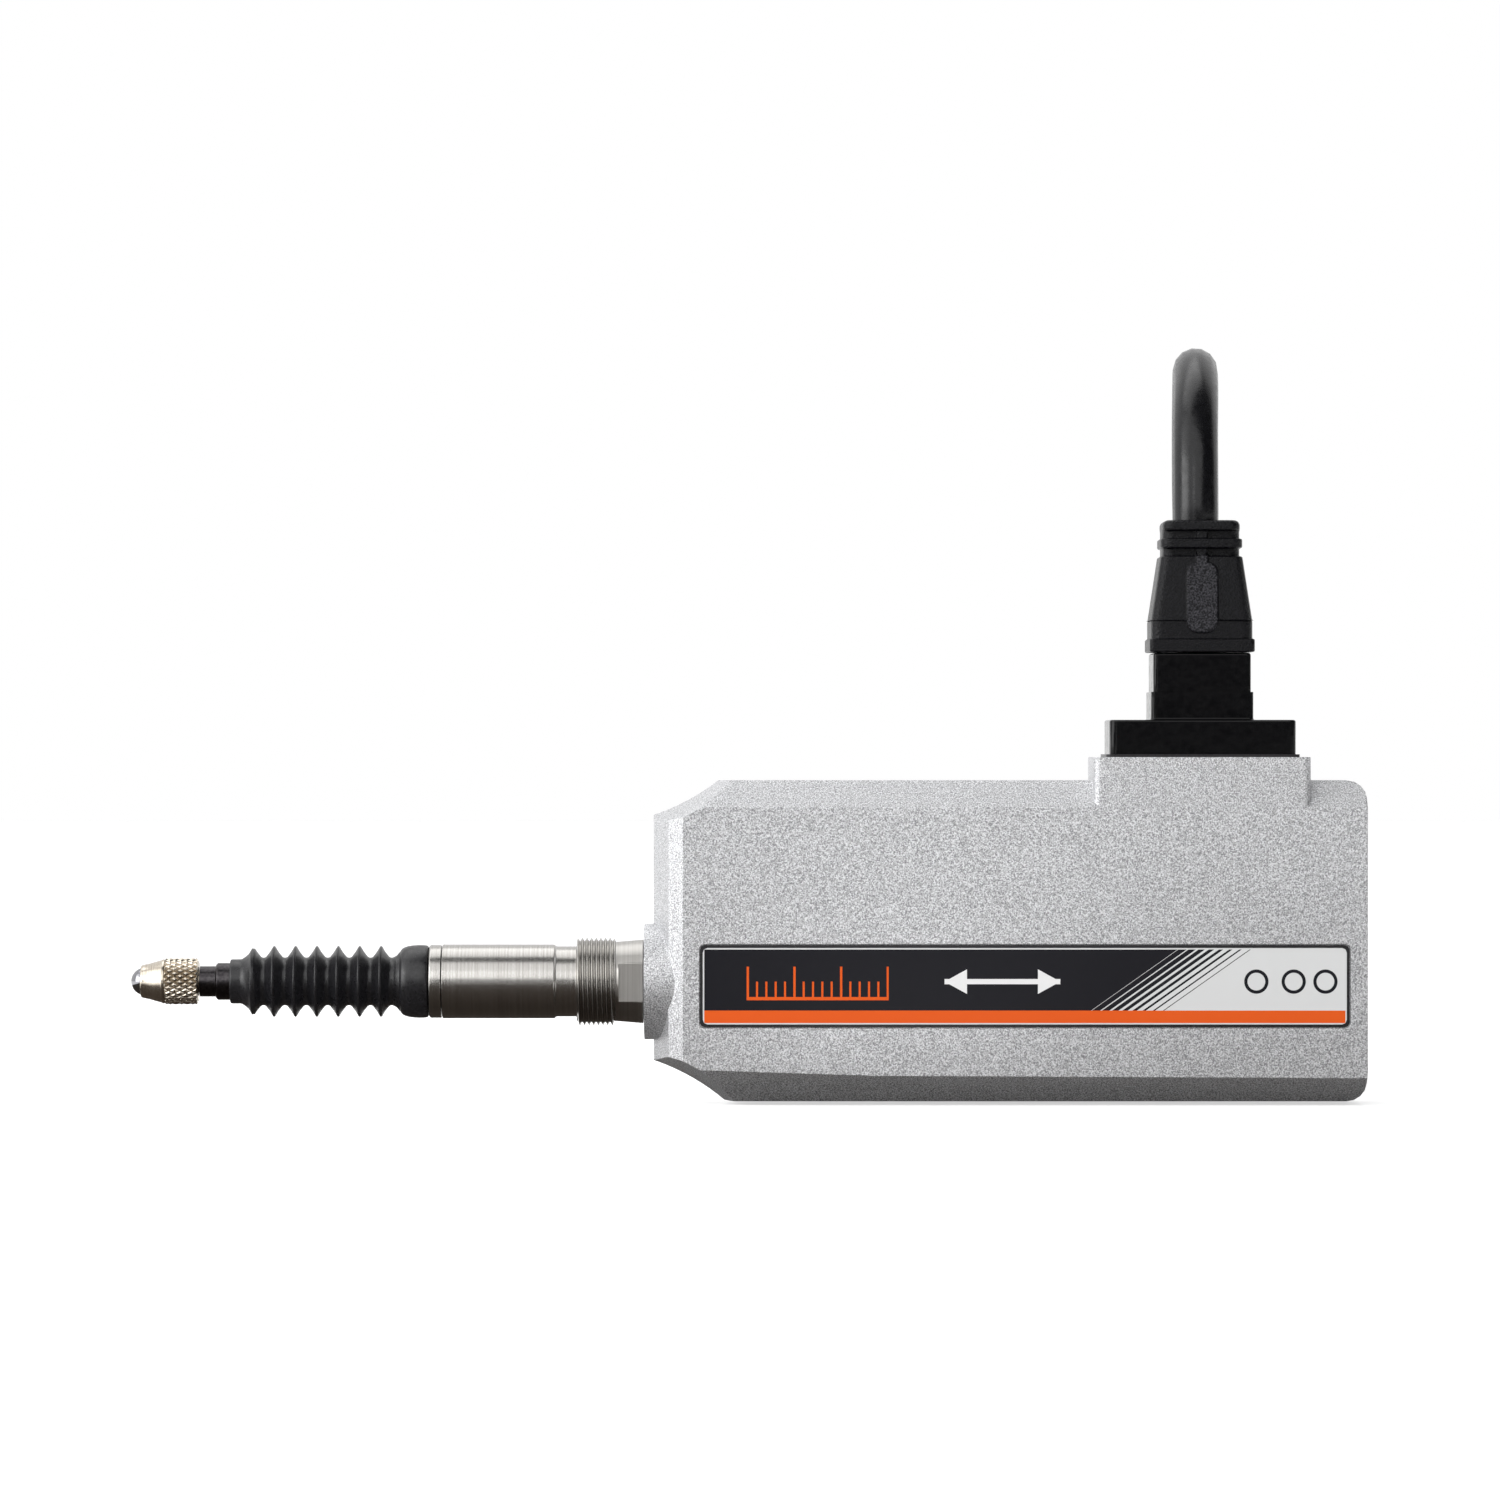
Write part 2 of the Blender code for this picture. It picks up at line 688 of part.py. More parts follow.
def housing_blank():
    """The outside of the casting: a box with chamfered edges and a drafted nose."""
    shape, middle = cube_between(
        (NOSE_X, -HALF_THICK, 0.0), (REAR_X, HALF_THICK, HOUSING_HEIGHT)
    )
    bmesh.ops.translate(shape, verts=shape.verts, vec=middle)
    rear = [edge for edge in edges_along(shape, Y) if edge.verts[0].co.x > middle[0]]
    round_edges(shape, rear, REAR_CORNER, 4)
    bevel_x = NOSE_X + NOSE_DRAFT + NOSE_BEVEL
    for side in (-1, 1):
        wide_y = side * HALF_THICK
        slice_off(shape, (0.0, wide_y, HOUSING_HEIGHT - TOP_CHAMFER), (0.0, side, 1.0))
        slice_off(shape, (0.0, wide_y, BOTTOM_CHAMFER), (0.0, side, -1.0))
        slice_off(shape, (NOSE_X, 0.0, 0.0), (-NOSE_FLAT_HALF, side * NOSE_DRAFT, 0.0))
        bevel_run = HALF_THICK - NOSE_FLAT_HALF
        slice_off(shape, (bevel_x, wide_y, 0.0), (-bevel_run, side * NOSE_BEVEL, 0.0))
    rim = []
    for edge in shape.edges:
        at_rear = all(vert.co.x > REAR_X - 0.00001 for vert in edge.verts)
        if at_rear and len(edge.link_faces) == 2 and edge.calc_face_angle() > 0.5:
            rim.append(edge)
    round_edges(shape, rim, REAR_EDGE, 2)
    bmesh.ops.recalc_face_normals(shape, faces=shape.faces)
    return from_bmesh("housing", shape, CAST)


def nose_boss():
    """The round boss that the stem's collar meets, its caps in one face each."""
    low, high = BOSS_X, NOSE_X + BOSS_ROOT
    shape = bmesh.new()
    bmesh.ops.create_cone(
        shape,
        cap_ends=True,
        segments=FINE,
        radius1=BOSS_DIAMETER / 2,
        radius2=BOSS_DIAMETER / 2,
        depth=high - low,
    )
    boss = from_bmesh("boss", shape, None, ((low + high) / 2, 0.0, AXIS_HEIGHT))
    boss.rotation_euler = TURNS[X]
    return boss


def housing():
    body = housing_blank()
    top_z = HOUSING_HEIGHT - TOP_SCOOP_DROP
    cut(
        body,
        scoop_cutter("top_scoop", top_z, NOSE_X + TOP_SCOOP_RUN, HOUSING_HEIGHT, 1),
        scoop_cutter("bottom_scoop", BOTTOM_SCOOP_RISE, NOSE_X + BOTTOM_SCOOP_RUN, 0.0, -1),
    )
    join(
        body,
        nose_boss(),
        block(
            "connector_block",
            (BLOCK_X, BLOCK_STEP - HALF_THICK, HOUSING_HEIGHT - BLOCK_ROOT),
            (BLOCK_REAR_X, HALF_THICK - BLOCK_STEP, BLOCK_TOP_Z),
            None,
            BLOCK_CORNER,
        ),
    )
    cut(body, *cavity_cutters())
    join(body, *housing_posts())
    cut(body, *housing_holes())
    return body


def cavity_cutters():
    """The cover's recess, the open cavity, the stem's bore and the label's pocket."""
    beyond = HALF_THICK + CUT_PAST
    margin = LABEL_MARGIN
    pocket_y = -HALF_THICK + LABEL_SUNK + LABEL_THICKNESS + SEAT
    label_top = LABEL_BOTTOM + LABEL_HEIGHT
    label_low = (LABEL_X - margin, -beyond, LABEL_BOTTOM - margin)
    label_high = (LABEL_REAR_X + margin, pocket_y, label_top + margin)
    return (
        block(
            "cover_recess",
            (CAVITY_X - COVER_LAND, LEDGE_Y, CAVITY_Z - COVER_LEDGE),
            (CAVITY_REAR_X + COVER_LAND, beyond, CAVITY_TOP_Z + COVER_LEDGE),
            None,
            COVER_CORNER,
            Y,
        ),
        block(
            "cavity",
            (CAVITY_X, CAVITY_Y, CAVITY_Z),
            (CAVITY_REAR_X, beyond, CAVITY_TOP_Z),
            None,
        ),
        disc("stem_bore", BOSS_X - CUT_PAST, CAVITY_X + CUT_PAST, SHANK_DIAMETER / 2 + RUNNING, None),
        block("label_pocket", label_low, label_high, None, LABEL_CORNER, Y, 2),
    )


def corner_screws():
    """Centres of the cover's four screws, in the solid walls at the cavity's two ends."""
    places = []
    for x in (CAVITY_X - SCREW_INSET, CAVITY_REAR_X + SCREW_INSET):
        for z in (CAVITY_Z + SCREW_RISE, CAVITY_TOP_Z - SCREW_RISE):
            places.append((x, z))
    return places


def board_posts():
    z = BOARD_TOP_Z - POST_DROP
    return (BOARD_X + POST_INSET, z), (BOARD_REAR_X - POST_INSET, z)


def housing_posts():
    posts = []
    low_y = CAVITY_Y - OVERLAP
    radius = POST_DIAMETER / 2
    for index, (x, z) in enumerate(board_posts(), 1):
        name = f"board_post_{index}"
        high_y = BOARD_Y - SEAT
        posts.append(disc(name, low_y, high_y, radius, None, Y, (x, 0.0, z), COARSE))
    return posts


def housing_holes():
    holes = []
    cover_hole = COVER_SCREW[2] + SEAT
    for index, (x, z) in enumerate(corner_screws(), 1):
        depth = LEDGE_Y - COVER_SCREW[3]
        at = (x, 0.0, z)
        name = f"cover_tap_{index}"
        holes.append(disc(name, depth, LEDGE_Y + CUT_PAST, cover_hole, None, Y, at, COARSE))
    for index, (x, z) in enumerate(board_posts(), 1):
        low = BOARD_REAR_Y - BOARD_SCREW[3] - FREE
        name = f"board_tap_{index}"
        radius = BOARD_SCREW[2] + SEAT
        holes.append(disc(name, low, BOARD_Y + CUT_PAST, radius, None, Y, (x, 0.0, z), COARSE))
    plug_at = (PLUG_X, 0.0, 0.0)
    socket_radius = SOCKET_DIAMETER / 2 + SEAT
    low_z = CAVITY_TOP_Z - CUT_PAST
    high_z = BLOCK_TOP_Z + CUT_PAST
    holes.append(disc("socket_hole", low_z, high_z, socket_radius, None, Z, plug_at))
    for index, x in enumerate(plug_screw_places(), 1):
        low = FLANGE_Z + PLUG_SCREW[1] - PLUG_SCREW[3] - FREE
        radius = PLUG_SCREW[2] + SEAT
        name = f"plug_tap_{index}"
        holes.append(disc(name, low, high_z, radius, None, Z, (x, 0.0, 0.0), COARSE))
    return holes


def label_plate():
    front = -HALF_THICK + LABEL_SUNK
    low = (LABEL_X, front, LABEL_BOTTOM)
    high = (LABEL_REAR_X, front + LABEL_THICKNESS, LABEL_BOTTOM + LABEL_HEIGHT)
    return block("label_plate", low, high, LABEL, LABEL_CORNER, Y, 2)


def back_cover():
    land_x = COVER_LAND - SEAT
    land_z = COVER_LEDGE - SEAT
    low = (CAVITY_X - land_x, COVER_Y, CAVITY_Z - land_z)
    high = (CAVITY_REAR_X + land_x, COVER_Y + COVER_THICKNESS, CAVITY_TOP_Z + land_z)
    cover = block("back_cover", low, high, CAST, COVER_CORNER, Y)
    head_radius, head_height, shank_radius, _ = COVER_SCREW
    top = COVER_Y + COVER_THICKNESS
    seat = top - head_height
    spread = (head_radius - shank_radius) / head_height
    for index, (x, z) in enumerate(corner_screws(), 1):
        outline = (
            (top + CUT_PAST, 0.0),
            (top + CUT_PAST, head_radius + SEAT + spread * CUT_PAST),
            (seat, shank_radius + SEAT),
            (COVER_Y - CUT_PAST, shank_radius + SEAT),
            (COVER_Y - CUT_PAST, 0.0),
        )
        hole = turned(f"cover_hole_{index}", outline, None, Y, (x, 0.0, z), COARSE)
        cut(cover, hole)
        cap_screw(f"cover_screw_{index}", (x, seat, z), Y, COVER_SCREW, DARK_STEEL, True)
    return cover


def cover_gasket():
    low_y = LEDGE_Y + SEAT
    high_y = low_y + COVER_GASKET
    land_x = COVER_LAND - SEAT
    land_z = COVER_LEDGE - SEAT
    low = (CAVITY_X - land_x, low_y, CAVITY_Z - land_z)
    high = (CAVITY_REAR_X + land_x, high_y, CAVITY_TOP_Z + land_z)
    gasket = block("cover_gasket", low, high, RUBBER, COVER_CORNER, Y)
    window = block(
        "gasket_window",
        (CAVITY_X - FREE, low_y - CUT_PAST, CAVITY_Z - FREE),
        (CAVITY_REAR_X + FREE, high_y + CUT_PAST, CAVITY_TOP_Z + FREE),
        None,
    )
    cut(gasket, window)
    radius = COVER_SCREW[2] + FREE
    for index, (x, z) in enumerate(corner_screws(), 1):
        name = f"gasket_hole_{index}"
        at = (x, 0.0, z)
        cut(gasket, disc(name, low_y - CUT_PAST, high_y + CUT_PAST, radius, None, Y, at, COARSE))
    return gasket


def stem():
    """Shank, collar with its flats, thread, relief and ground clamping length, all one turning."""
    groove = SHANK_DIAMETER / 2 - SEAL_SECTION
    groove_x = CAVITY_X - SEAL_SETBACK
    groove_half = SEAL_SECTION / 2 + SEAT
    bore = STEM_BORE / 2
    ground = STEM_DIAMETER / 2
    crest = THREAD_DIAMETER / 2
    outline = (
        (SHANK_X, bore),
        (SHANK_X, SHANK_DIAMETER / 2),
        (groove_x + groove_half, SHANK_DIAMETER / 2),
        (groove_x + groove_half, groove),
        (groove_x - groove_half, groove),
        (groove_x - groove_half, SHANK_DIAMETER / 2),
        (BOSS_X - SEAT, SHANK_DIAMETER / 2),
        (BOSS_X - SEAT, FLATS_DIAMETER / 2),
        (FLATS_X, FLATS_DIAMETER / 2),
        (FLATS_X, crest - EDGE_BREAK),
        (FLATS_X - EDGE_BREAK, crest),
        (THREAD_X + EDGE_BREAK, crest),
        (THREAD_X, crest - EDGE_BREAK),
        (THREAD_X, RELIEF_DIAMETER / 2),
        (RELIEF_X, RELIEF_DIAMETER / 2),
        (RELIEF_X, ground - EDGE_BREAK),
        (RELIEF_X - EDGE_BREAK, ground),
        (STEM_X, ground),
        (STEM_X, bore),
    )
    body = turned("stem", outline, STEEL)
    flats_rear = BOSS_X - SEAT + CUT_PAST
    for side in (-1, 1):
        near = side * FLATS_ACROSS / 2
        far = side * FLATS_DIAMETER
        name = "front_flat" if side < 0 else "rear_flat"
        low = (FLATS_X + FLATS_RIM, min(near, far), AXIS_HEIGHT - FLATS_DIAMETER)
        high = (flats_rear, max(near, far), AXIS_HEIGHT + FLATS_DIAMETER)
        cut(body, block(name, low, high, None))
    return body


def stem_seal():
    radius = SHANK_DIAMETER / 2 - SEAL_SECTION / 2
    section = SEAL_SECTION / 2
    centre = (CAVITY_X - SEAL_SETBACK, radius)
    outline = arc(centre, section, 0.0, math.pi * 5 / 3, 5)
    at = (CAVITY_X - SEAL_SETBACK, 0.0, AXIS_HEIGHT)
    return turned("stem_seal", outline, RUBBER, X, at, 28)


def stem_nut():
    low = CAVITY_X + SEAT
    radius = NUT_ACROSS / math.sqrt(3)
    nut = disc("stem_nut", low, low + NUT_THICKNESS, radius, STEEL, steps=6)
    bore = SHANK_DIAMETER / 2 + SEAT
    cut(nut, disc("nut_bore", low - CUT_PAST, low + NUT_THICKNESS + CUT_PAST, bore, None))
    return nut


def front_bush():
    """The ring at the stem's end: a tail in the stem's bore and a spigot under the bellows."""
    bore = SPINDLE_DIAMETER / 2 + RUNNING
    flange = BUSH_DIAMETER / 2
    outline = (
        (BUSH_REAR_X + BUSH_TAIL, bore),
        (BUSH_REAR_X + BUSH_TAIL, STEM_BORE / 2 - SEAT),
        (BUSH_REAR_X, STEM_BORE / 2 - SEAT),
        (BUSH_REAR_X, flange),
        (BUSH_X + EDGE_BREAK, flange),
        (BUSH_X, flange - EDGE_BREAK),
        (BUSH_X, BUSH_SPIGOT_DIAMETER / 2),
        (BUSH_X - BUSH_SPIGOT_LENGTH, BUSH_SPIGOT_DIAMETER / 2),
        (BUSH_X - BUSH_SPIGOT_LENGTH, bore),
    )
    return turned("front_bush", outline, STEEL, steps=32)


def bellows():
    """Seven sharp-crested folds between a rear cuff over the bush and a front cuff on the spindle."""
    half = BELLOWS_PITCH / 2
    crest = BELLOWS_PITCH * 0.03
    root = BELLOWS_PITCH * 0.12
    cuff_bore = BUSH_SPIGOT_DIAMETER / 2 + RUNNING
    front_bore = SPINDLE_DIAMETER / 2 + RUNNING
    bulge_x = CUFF_REAR_X - REAR_CUFF_LENGTH / 2
    outer = [
        (CUFF_REAR_X, cuff_bore),
        (CUFF_REAR_X, REAR_CUFF_RADIUS - EDGE_BREAK),
        (CUFF_REAR_X - EDGE_BREAK, REAR_CUFF_RADIUS),
        (bulge_x, REAR_CUFF_RADIUS),
        (CUFF_LIP_X + REAR_CUFF_LENGTH * 0.15, (REAR_CUFF_RADIUS + REAR_CUFF_LIP) / 2),
        (CUFF_LIP_X, REAR_CUFF_LIP),
    ]
    inner = []
    for index in range(BELLOWS_FOLDS):
        peak_x = LAST_PEAK_X - index * BELLOWS_PITCH
        last = index == BELLOWS_FOLDS - 1
        peak = FRONT_PEAK_RADIUS if last else PEAK_RADIUS
        outer.append((peak_x + half + root, VALLEY_RADIUS + root / 2))
        outer.append((peak_x + half, VALLEY_RADIUS))
        outer.append((peak_x + half - root, VALLEY_RADIUS + root / 2))
        outer.append((peak_x + crest, peak))
        outer.append((peak_x - crest, peak))
        inner.append((peak_x + half, VALLEY_RADIUS - BELLOWS_WALL))
        inner.append((peak_x, peak - BELLOWS_WALL))
    outer += [
        (FRONT_CUFF_REAR_X, FRONT_CUFF_RADIUS),
        (FRONT_CUFF_X + EDGE_BREAK, FRONT_CUFF_RADIUS),
        (FRONT_CUFF_X, FRONT_CUFF_RADIUS - EDGE_BREAK),
        (FRONT_CUFF_X, front_bore),
        (FRONT_CUFF_REAR_X, front_bore),
    ]
    rear_inner = (CUFF_LIP_X, cuff_bore)
    outline = outer + inner[::-1] + [rear_inner]
    return turned("bellows", outline, RUBBER, steps=BELLOWS_STEPS)


def spindle():
    """Ground rod with a thinner front end, a hole for the contact point and a bore for the spring."""
    rod = SPINDLE_DIAMETER / 2
    neck = SPINDLE_NECK_DIAMETER / 2
    hole = POINT_SHANK / 2 + SEAT
    hole_end = SPINDLE_X + POINT_SHANK_LENGTH + SEAT
    bore_end = SPINDLE_REAR_X - SPRING_BORE_DEPTH
    outline = (
        (bore_end, 0.0),
        (bore_end, SPRING_BORE / 2),
        (SPINDLE_REAR_X, SPRING_BORE / 2),
        (SPINDLE_REAR_X, rod - EDGE_BREAK),
        (SPINDLE_REAR_X - EDGE_BREAK, rod),
        (NECK_REAR_X + EDGE_BREAK, rod),
        (NECK_REAR_X, rod - EDGE_BREAK),
        (NECK_REAR_X, neck),
        (SPINDLE_X, neck),
        (SPINDLE_X, hole),
        (hole_end, hole),
        (hole_end, 0.0),
    )
    return turned("spindle", outline, DARK_STEEL, steps=32)


def contact_point():
    """Screwed shank, knurled band, cone and the seat that grips the ball."""
    knurl = KNURL_DIAMETER / 2
    shank = POINT_SHANK / 2
    seat = BALL_DIAMETER / 2 + SEAT / 2
    grip_angle = math.acos(-BALL_GRIP / seat)
    outline = [
        (POINT_REAR_X + SEAT + POINT_SHANK_LENGTH, 0.0),
        (POINT_REAR_X + SEAT + POINT_SHANK_LENGTH, shank - EDGE_BREAK),
        (POINT_REAR_X + POINT_SHANK_LENGTH, shank),
        (POINT_REAR_X, shank),
        (POINT_REAR_X, knurl - EDGE_BREAK * 2),
        (KNURL_REAR_X, knurl - EDGE_BREAK),
        (KNURL_REAR_X - EDGE_BREAK, knurl),
        (KNURL_FRONT_X + EDGE_BREAK, knurl),
        (KNURL_FRONT_X, knurl - EDGE_BREAK / 2),
        (LIP_X + EDGE_BREAK, POINT_LIP_RADIUS + EDGE_BREAK / 4),
        (LIP_X, POINT_LIP_RADIUS - EDGE_BREAK / 4),
    ]
    outline += arc((BALL_X, 0.0), seat, grip_angle, 0.0, 5)
    outline[-1] = (outline[-1][0], 0.0)
    return turned("contact_point", outline, NICKEL, steps=28)


def contact_ball():
    outline = arc((BALL_X, 0.0), BALL_DIAMETER / 2, 0.0, math.pi, 10)
    outline[0] = (outline[0][0], 0.0)
    outline[-1] = (outline[-1][0], 0.0)
    return turned("contact_ball", outline, CARBIDE, steps=20)


def ball_cage():
    """A thin sleeve with rings of balls that stand out on both sides, as they roll in it."""
    middle = (SPINDLE_DIAMETER + STEM_BORE) / 4
    room = (STEM_BORE - SPINDLE_DIAMETER) / 2
    low = BUSH_REAR_X + BUSH_TAIL + CAGE_SETBACK
    inner = middle - CAGE_WALL / 2
    outer = middle + CAGE_WALL / 2
    at = (low, 0.0, AXIS_HEIGHT)
    cage = ring("ball_cage", low, low + CAGE_LENGTH, inner, outer, BRASS, at=at, steps=30)
    for row in range(CAGE_ROWS):
        x = low + CAGE_LENGTH * (row + 0.5) / CAGE_ROWS
        for index in range(CAGE_BALLS):
            angle = 2 * math.pi * (index + row / CAGE_ROWS) / CAGE_BALLS
            place = (x, middle * math.cos(angle), AXIS_HEIGHT + middle * math.sin(angle))
            shape = bmesh.new()
            radius = room / 2 - SEAT
            bmesh.ops.create_uvsphere(shape, u_segments=8, v_segments=4, radius=radius)
            name = f"cage_ball_{row + 1}_{index + 1}"
            join(cage, from_bmesh(name, shape, None, place))
    return cage


def bump_stop():
    inner = SPINDLE_DIAMETER / 2 + FREE
    high = BUMP_X + BUMP_THICKNESS
    return ring("bump_stop", BUMP_X, high, inner, BUMP_DIAMETER / 2, RUBBER, steps=32)


def scale_carrier():
    """Clamp block on the spindle, with a ledge under the glass and a stop at its front end."""
    half = CARRIER_WIDTH / 2
    low = (CARRIER_X, -half, CARRIER_Z)
    body = block("scale_carrier", low, (CARRIER_REAR_X, half, LEDGE_Z), ALUMINIUM)
    ledge_low = (CARRIER_X + OVERLAP, -LEDGE_WIDTH / 2, LEDGE_Z - LEDGE_THICKNESS)
    ledge_high = (SCALE_REAR_X + SCALE_STOP / 2, LEDGE_WIDTH / 2, LEDGE_Z)
    stop_low = (CARRIER_X, -LEDGE_WIDTH / 2, LEDGE_Z - LEDGE_THICKNESS)
    stop_high = (CARRIER_X + SCALE_STOP, LEDGE_WIDTH / 2, SCALE_Z + SCALE_HEIGHT / 2)
    join(
        body,
        block("ledge", ledge_low, ledge_high, None),
        block("scale_stop", stop_low, stop_high, None),
    )
    bore = SPINDLE_DIAMETER / 2 + SEAT
    screw_hole = CARRIER_SCREW[2] + SEAT
    pin_hole = PIN_DIAMETER / 2 + SEAT
    screw_at = carrier_screw_place()
    pin_at = (PIN_X, 0.0, 0.0)
    pin_top = CARRIER_Z + PIN_DEPTH + SEAT
    cut(
        body,
        disc("spindle_bore", CARRIER_X - CUT_PAST, CARRIER_REAR_X + CUT_PAST, bore, None),
        disc("clamp_hole", -half + CLAMP_WALL, half + CUT_PAST, screw_hole, None, Y, screw_at, COARSE),
        disc("pin_hole", CARRIER_Z - CUT_PAST, pin_top, pin_hole, None, Z, pin_at, COARSE),
    )
    return body


def carrier_screw_place():
    z = CARRIER_Z + CARRIER_SCREW[2] + 2 * SEAT + EDGE_BREAK
    return CARRIER_X + CARRIER_SCREW_SETBACK, CARRIER_WIDTH / 2 + SEAT, z


def carrier_parts():
    """What the spindle's rear end carries."""
    screw = cap_screw("carrier_screw", carrier_screw_place(), Y, CARRIER_SCREW, STEEL)
    return scale_carrier(), screw, glass_scale(), guide_pin()


def glass_scale():
    half = SCALE_THICKNESS / 2
    low = (SCALE_X, -half, SCALE_Z)
    return block("glass_scale", low, (SCALE_REAR_X, half, SCALE_TOP_Z), GLASS)


def guide_pin():
    low = CARRIER_Z - CARRIER_CLEARANCE - RAIL_HEIGHT + RAIL_FLOOR + FREE
    radius = PIN_DIAMETER / 2
    high = CARRIER_Z + PIN_DEPTH
    return disc("guide_pin", low, high, radius, STEEL, Z, (PIN_X, 0.0, AXIS_HEIGHT), COARSE)


def guide_rail():
    """Slotted rail on the cavity's floor. The slot's ends stop the pin just past its travel."""
    top = CARRIER_Z - CARRIER_CLEARANCE
    radius = PIN_DIAMETER / 2
    slot_low = PIN_X - radius - FREE
    slot_high = PIN_X + STROKE + radius + FREE
    low = (slot_low - RAIL_WALL, -RAIL_WIDTH / 2, CAVITY_Z + SEAT)
    rail = block("guide_rail", low, (slot_high + RAIL_WALL, RAIL_WIDTH / 2, top), ALUMINIUM)
    slot_half = radius + RUNNING
    slot_floor = top - RAIL_HEIGHT + RAIL_FLOOR
    cut(
        rail,
        block(
            "rail_slot",
            (slot_low, -slot_half, slot_floor),
            (slot_high, slot_half, top + CUT_PAST),
            None,
        ),
    )
    return rail


def spring_parts():
    """Helix inside the spindle, the rod that keeps it straight and the anchor behind both."""
    bore_end = SPINDLE_REAR_X - SPRING_BORE_DEPTH
    wire = SPRING_WIRE / 2
    start = bore_end + wire + SEAT
    end = ANCHOR_X - wire - SEAT
    mean = (SPRING_DIAMETER - SPRING_WIRE) / 2
    points_a_turn = 8
    path = []
    for index in range(SPRING_TURNS * points_a_turn + 1):
        angle = 2 * math.pi * index / points_a_turn
        x = start + (end - start) * index / (SPRING_TURNS * points_a_turn)
        path.append((x, mean * math.cos(angle), AXIS_HEIGHT + mean * math.sin(angle)))
    tube("return_spring", path, SPRING_WIRE, STEEL, 1, (end, 0.0, AXIS_HEIGHT))
    half = ANCHOR_WIDTH / 2
    anchor = block(
        "spring_anchor",
        (ANCHOR_X, -half, CAVITY_Z + SEAT),
        (ANCHOR_X + ANCHOR_LENGTH, half, ANCHOR_TOP_Z),
        ALUMINIUM,
    )
    hole = ROD_DIAMETER / 2 + SEAT
    rear = ANCHOR_X + ANCHOR_LENGTH
    cut(anchor, disc("rod_hole", ANCHOR_X - CUT_PAST, rear + CUT_PAST, hole, None, steps=COARSE))
    rod_x = rear - ROD_LENGTH
    disc("spring_rod", rod_x, rear, ROD_DIAMETER / 2, STEEL, steps=COARSE)


def reader_head():
    """Fork over the glass: a bridge and two legs, with the lamp in one and the grating on the other."""
    roof = SCALE_TOP_Z + FREE
    bottom = LEDGE_Z + 2 * FREE
    front = CAVITY_Y + SEAT
    low = (HEAD_X, front, bottom)
    high = (HEAD_X + HEAD_LENGTH, HEAD_REAR_Y, roof + HEAD_BRIDGE)
    head = block("reader_head", low, high, PLASTIC)
    lamp_at = (HEAD_X + HEAD_LENGTH / 2, 0.0, (SCALE_Z + SCALE_TOP_Z) / 2)
    lamp_front = -LEG_GAP - LAMP_LENGTH
    cut(
        head,
        block(
            "fork_gap",
            (HEAD_X - CUT_PAST, -LEG_GAP, bottom - CUT_PAST),
            (HEAD_X + HEAD_LENGTH + CUT_PAST, LEG_GAP, roof),
            None,
        ),
        disc(
            "lamp_hole",
            lamp_front - SEAT,
            -LEG_GAP + OVERLAP,
            LAMP_DIAMETER / 2 + SEAT,
            None,
            Y,
            lamp_at,
            COARSE,
        ),
    )
    radius = LAMP_DIAMETER / 2
    disc("light_source", lamp_front, -LEG_GAP, radius, GLASS, Y, lamp_at, COARSE)
    grating_y = LEG_GAP - SEAT - GRATING_THICKNESS
    half = GRATING_LENGTH / 2
    height = GRATING_HEIGHT / 2
    block(
        "index_grating",
        (lamp_at[0] - half, grating_y, lamp_at[2] - height),
        (lamp_at[0] + half, LEG_GAP - SEAT, lamp_at[2] + height),
        GLASS,
    )
    return head


def circuit_board():
    low = (BOARD_X, BOARD_Y, BOARD_Z)
    high = (BOARD_REAR_X, BOARD_REAR_Y, BOARD_TOP_Z)
    board = block("circuit_board", low, high, BOARD)
    hole = BOARD_SCREW[2] + SEAT
    for index, (x, z) in enumerate(board_posts(), 1):
        low_y = BOARD_Y - CUT_PAST
        at = (x, 0.0, z)
        name = f"board_hole_{index}"
        cut(board, disc(name, low_y, BOARD_REAR_Y + CUT_PAST, hole, None, Y, at, COARSE))
        seat = (x, BOARD_REAR_Y + SEAT, z)
        cap_screw(f"board_screw_{index}", seat, Y, BOARD_SCREW, STEEL)
    chip_x = BOARD_REAR_X - CHIP_SETBACK
    chip_z = (BOARD_Z + BOARD_TOP_Z - CHIP_SIDE) / 2
    chip_y = BOARD_REAR_Y + SEAT
    chip_high = (chip_x + CHIP_SIDE, chip_y + CHIP_THICKNESS, chip_z + CHIP_SIDE)
    block("signal_chip", (chip_x, chip_y, chip_z), chip_high, PLASTIC)
    header_x = BOARD_REAR_X - HEADER_SETBACK
    header_y = BOARD_Y - SEAT - HEADER_DEPTH
    header_top = BOARD_TOP_Z - HEADER_DROP
    header_z = header_top - HEADER_HEIGHT
    header_high = (header_x + HEADER_LENGTH, BOARD_Y - SEAT, header_top)
    block("board_header", (header_x, header_y, header_z), header_high, BOOT_RUBBER)
    return board


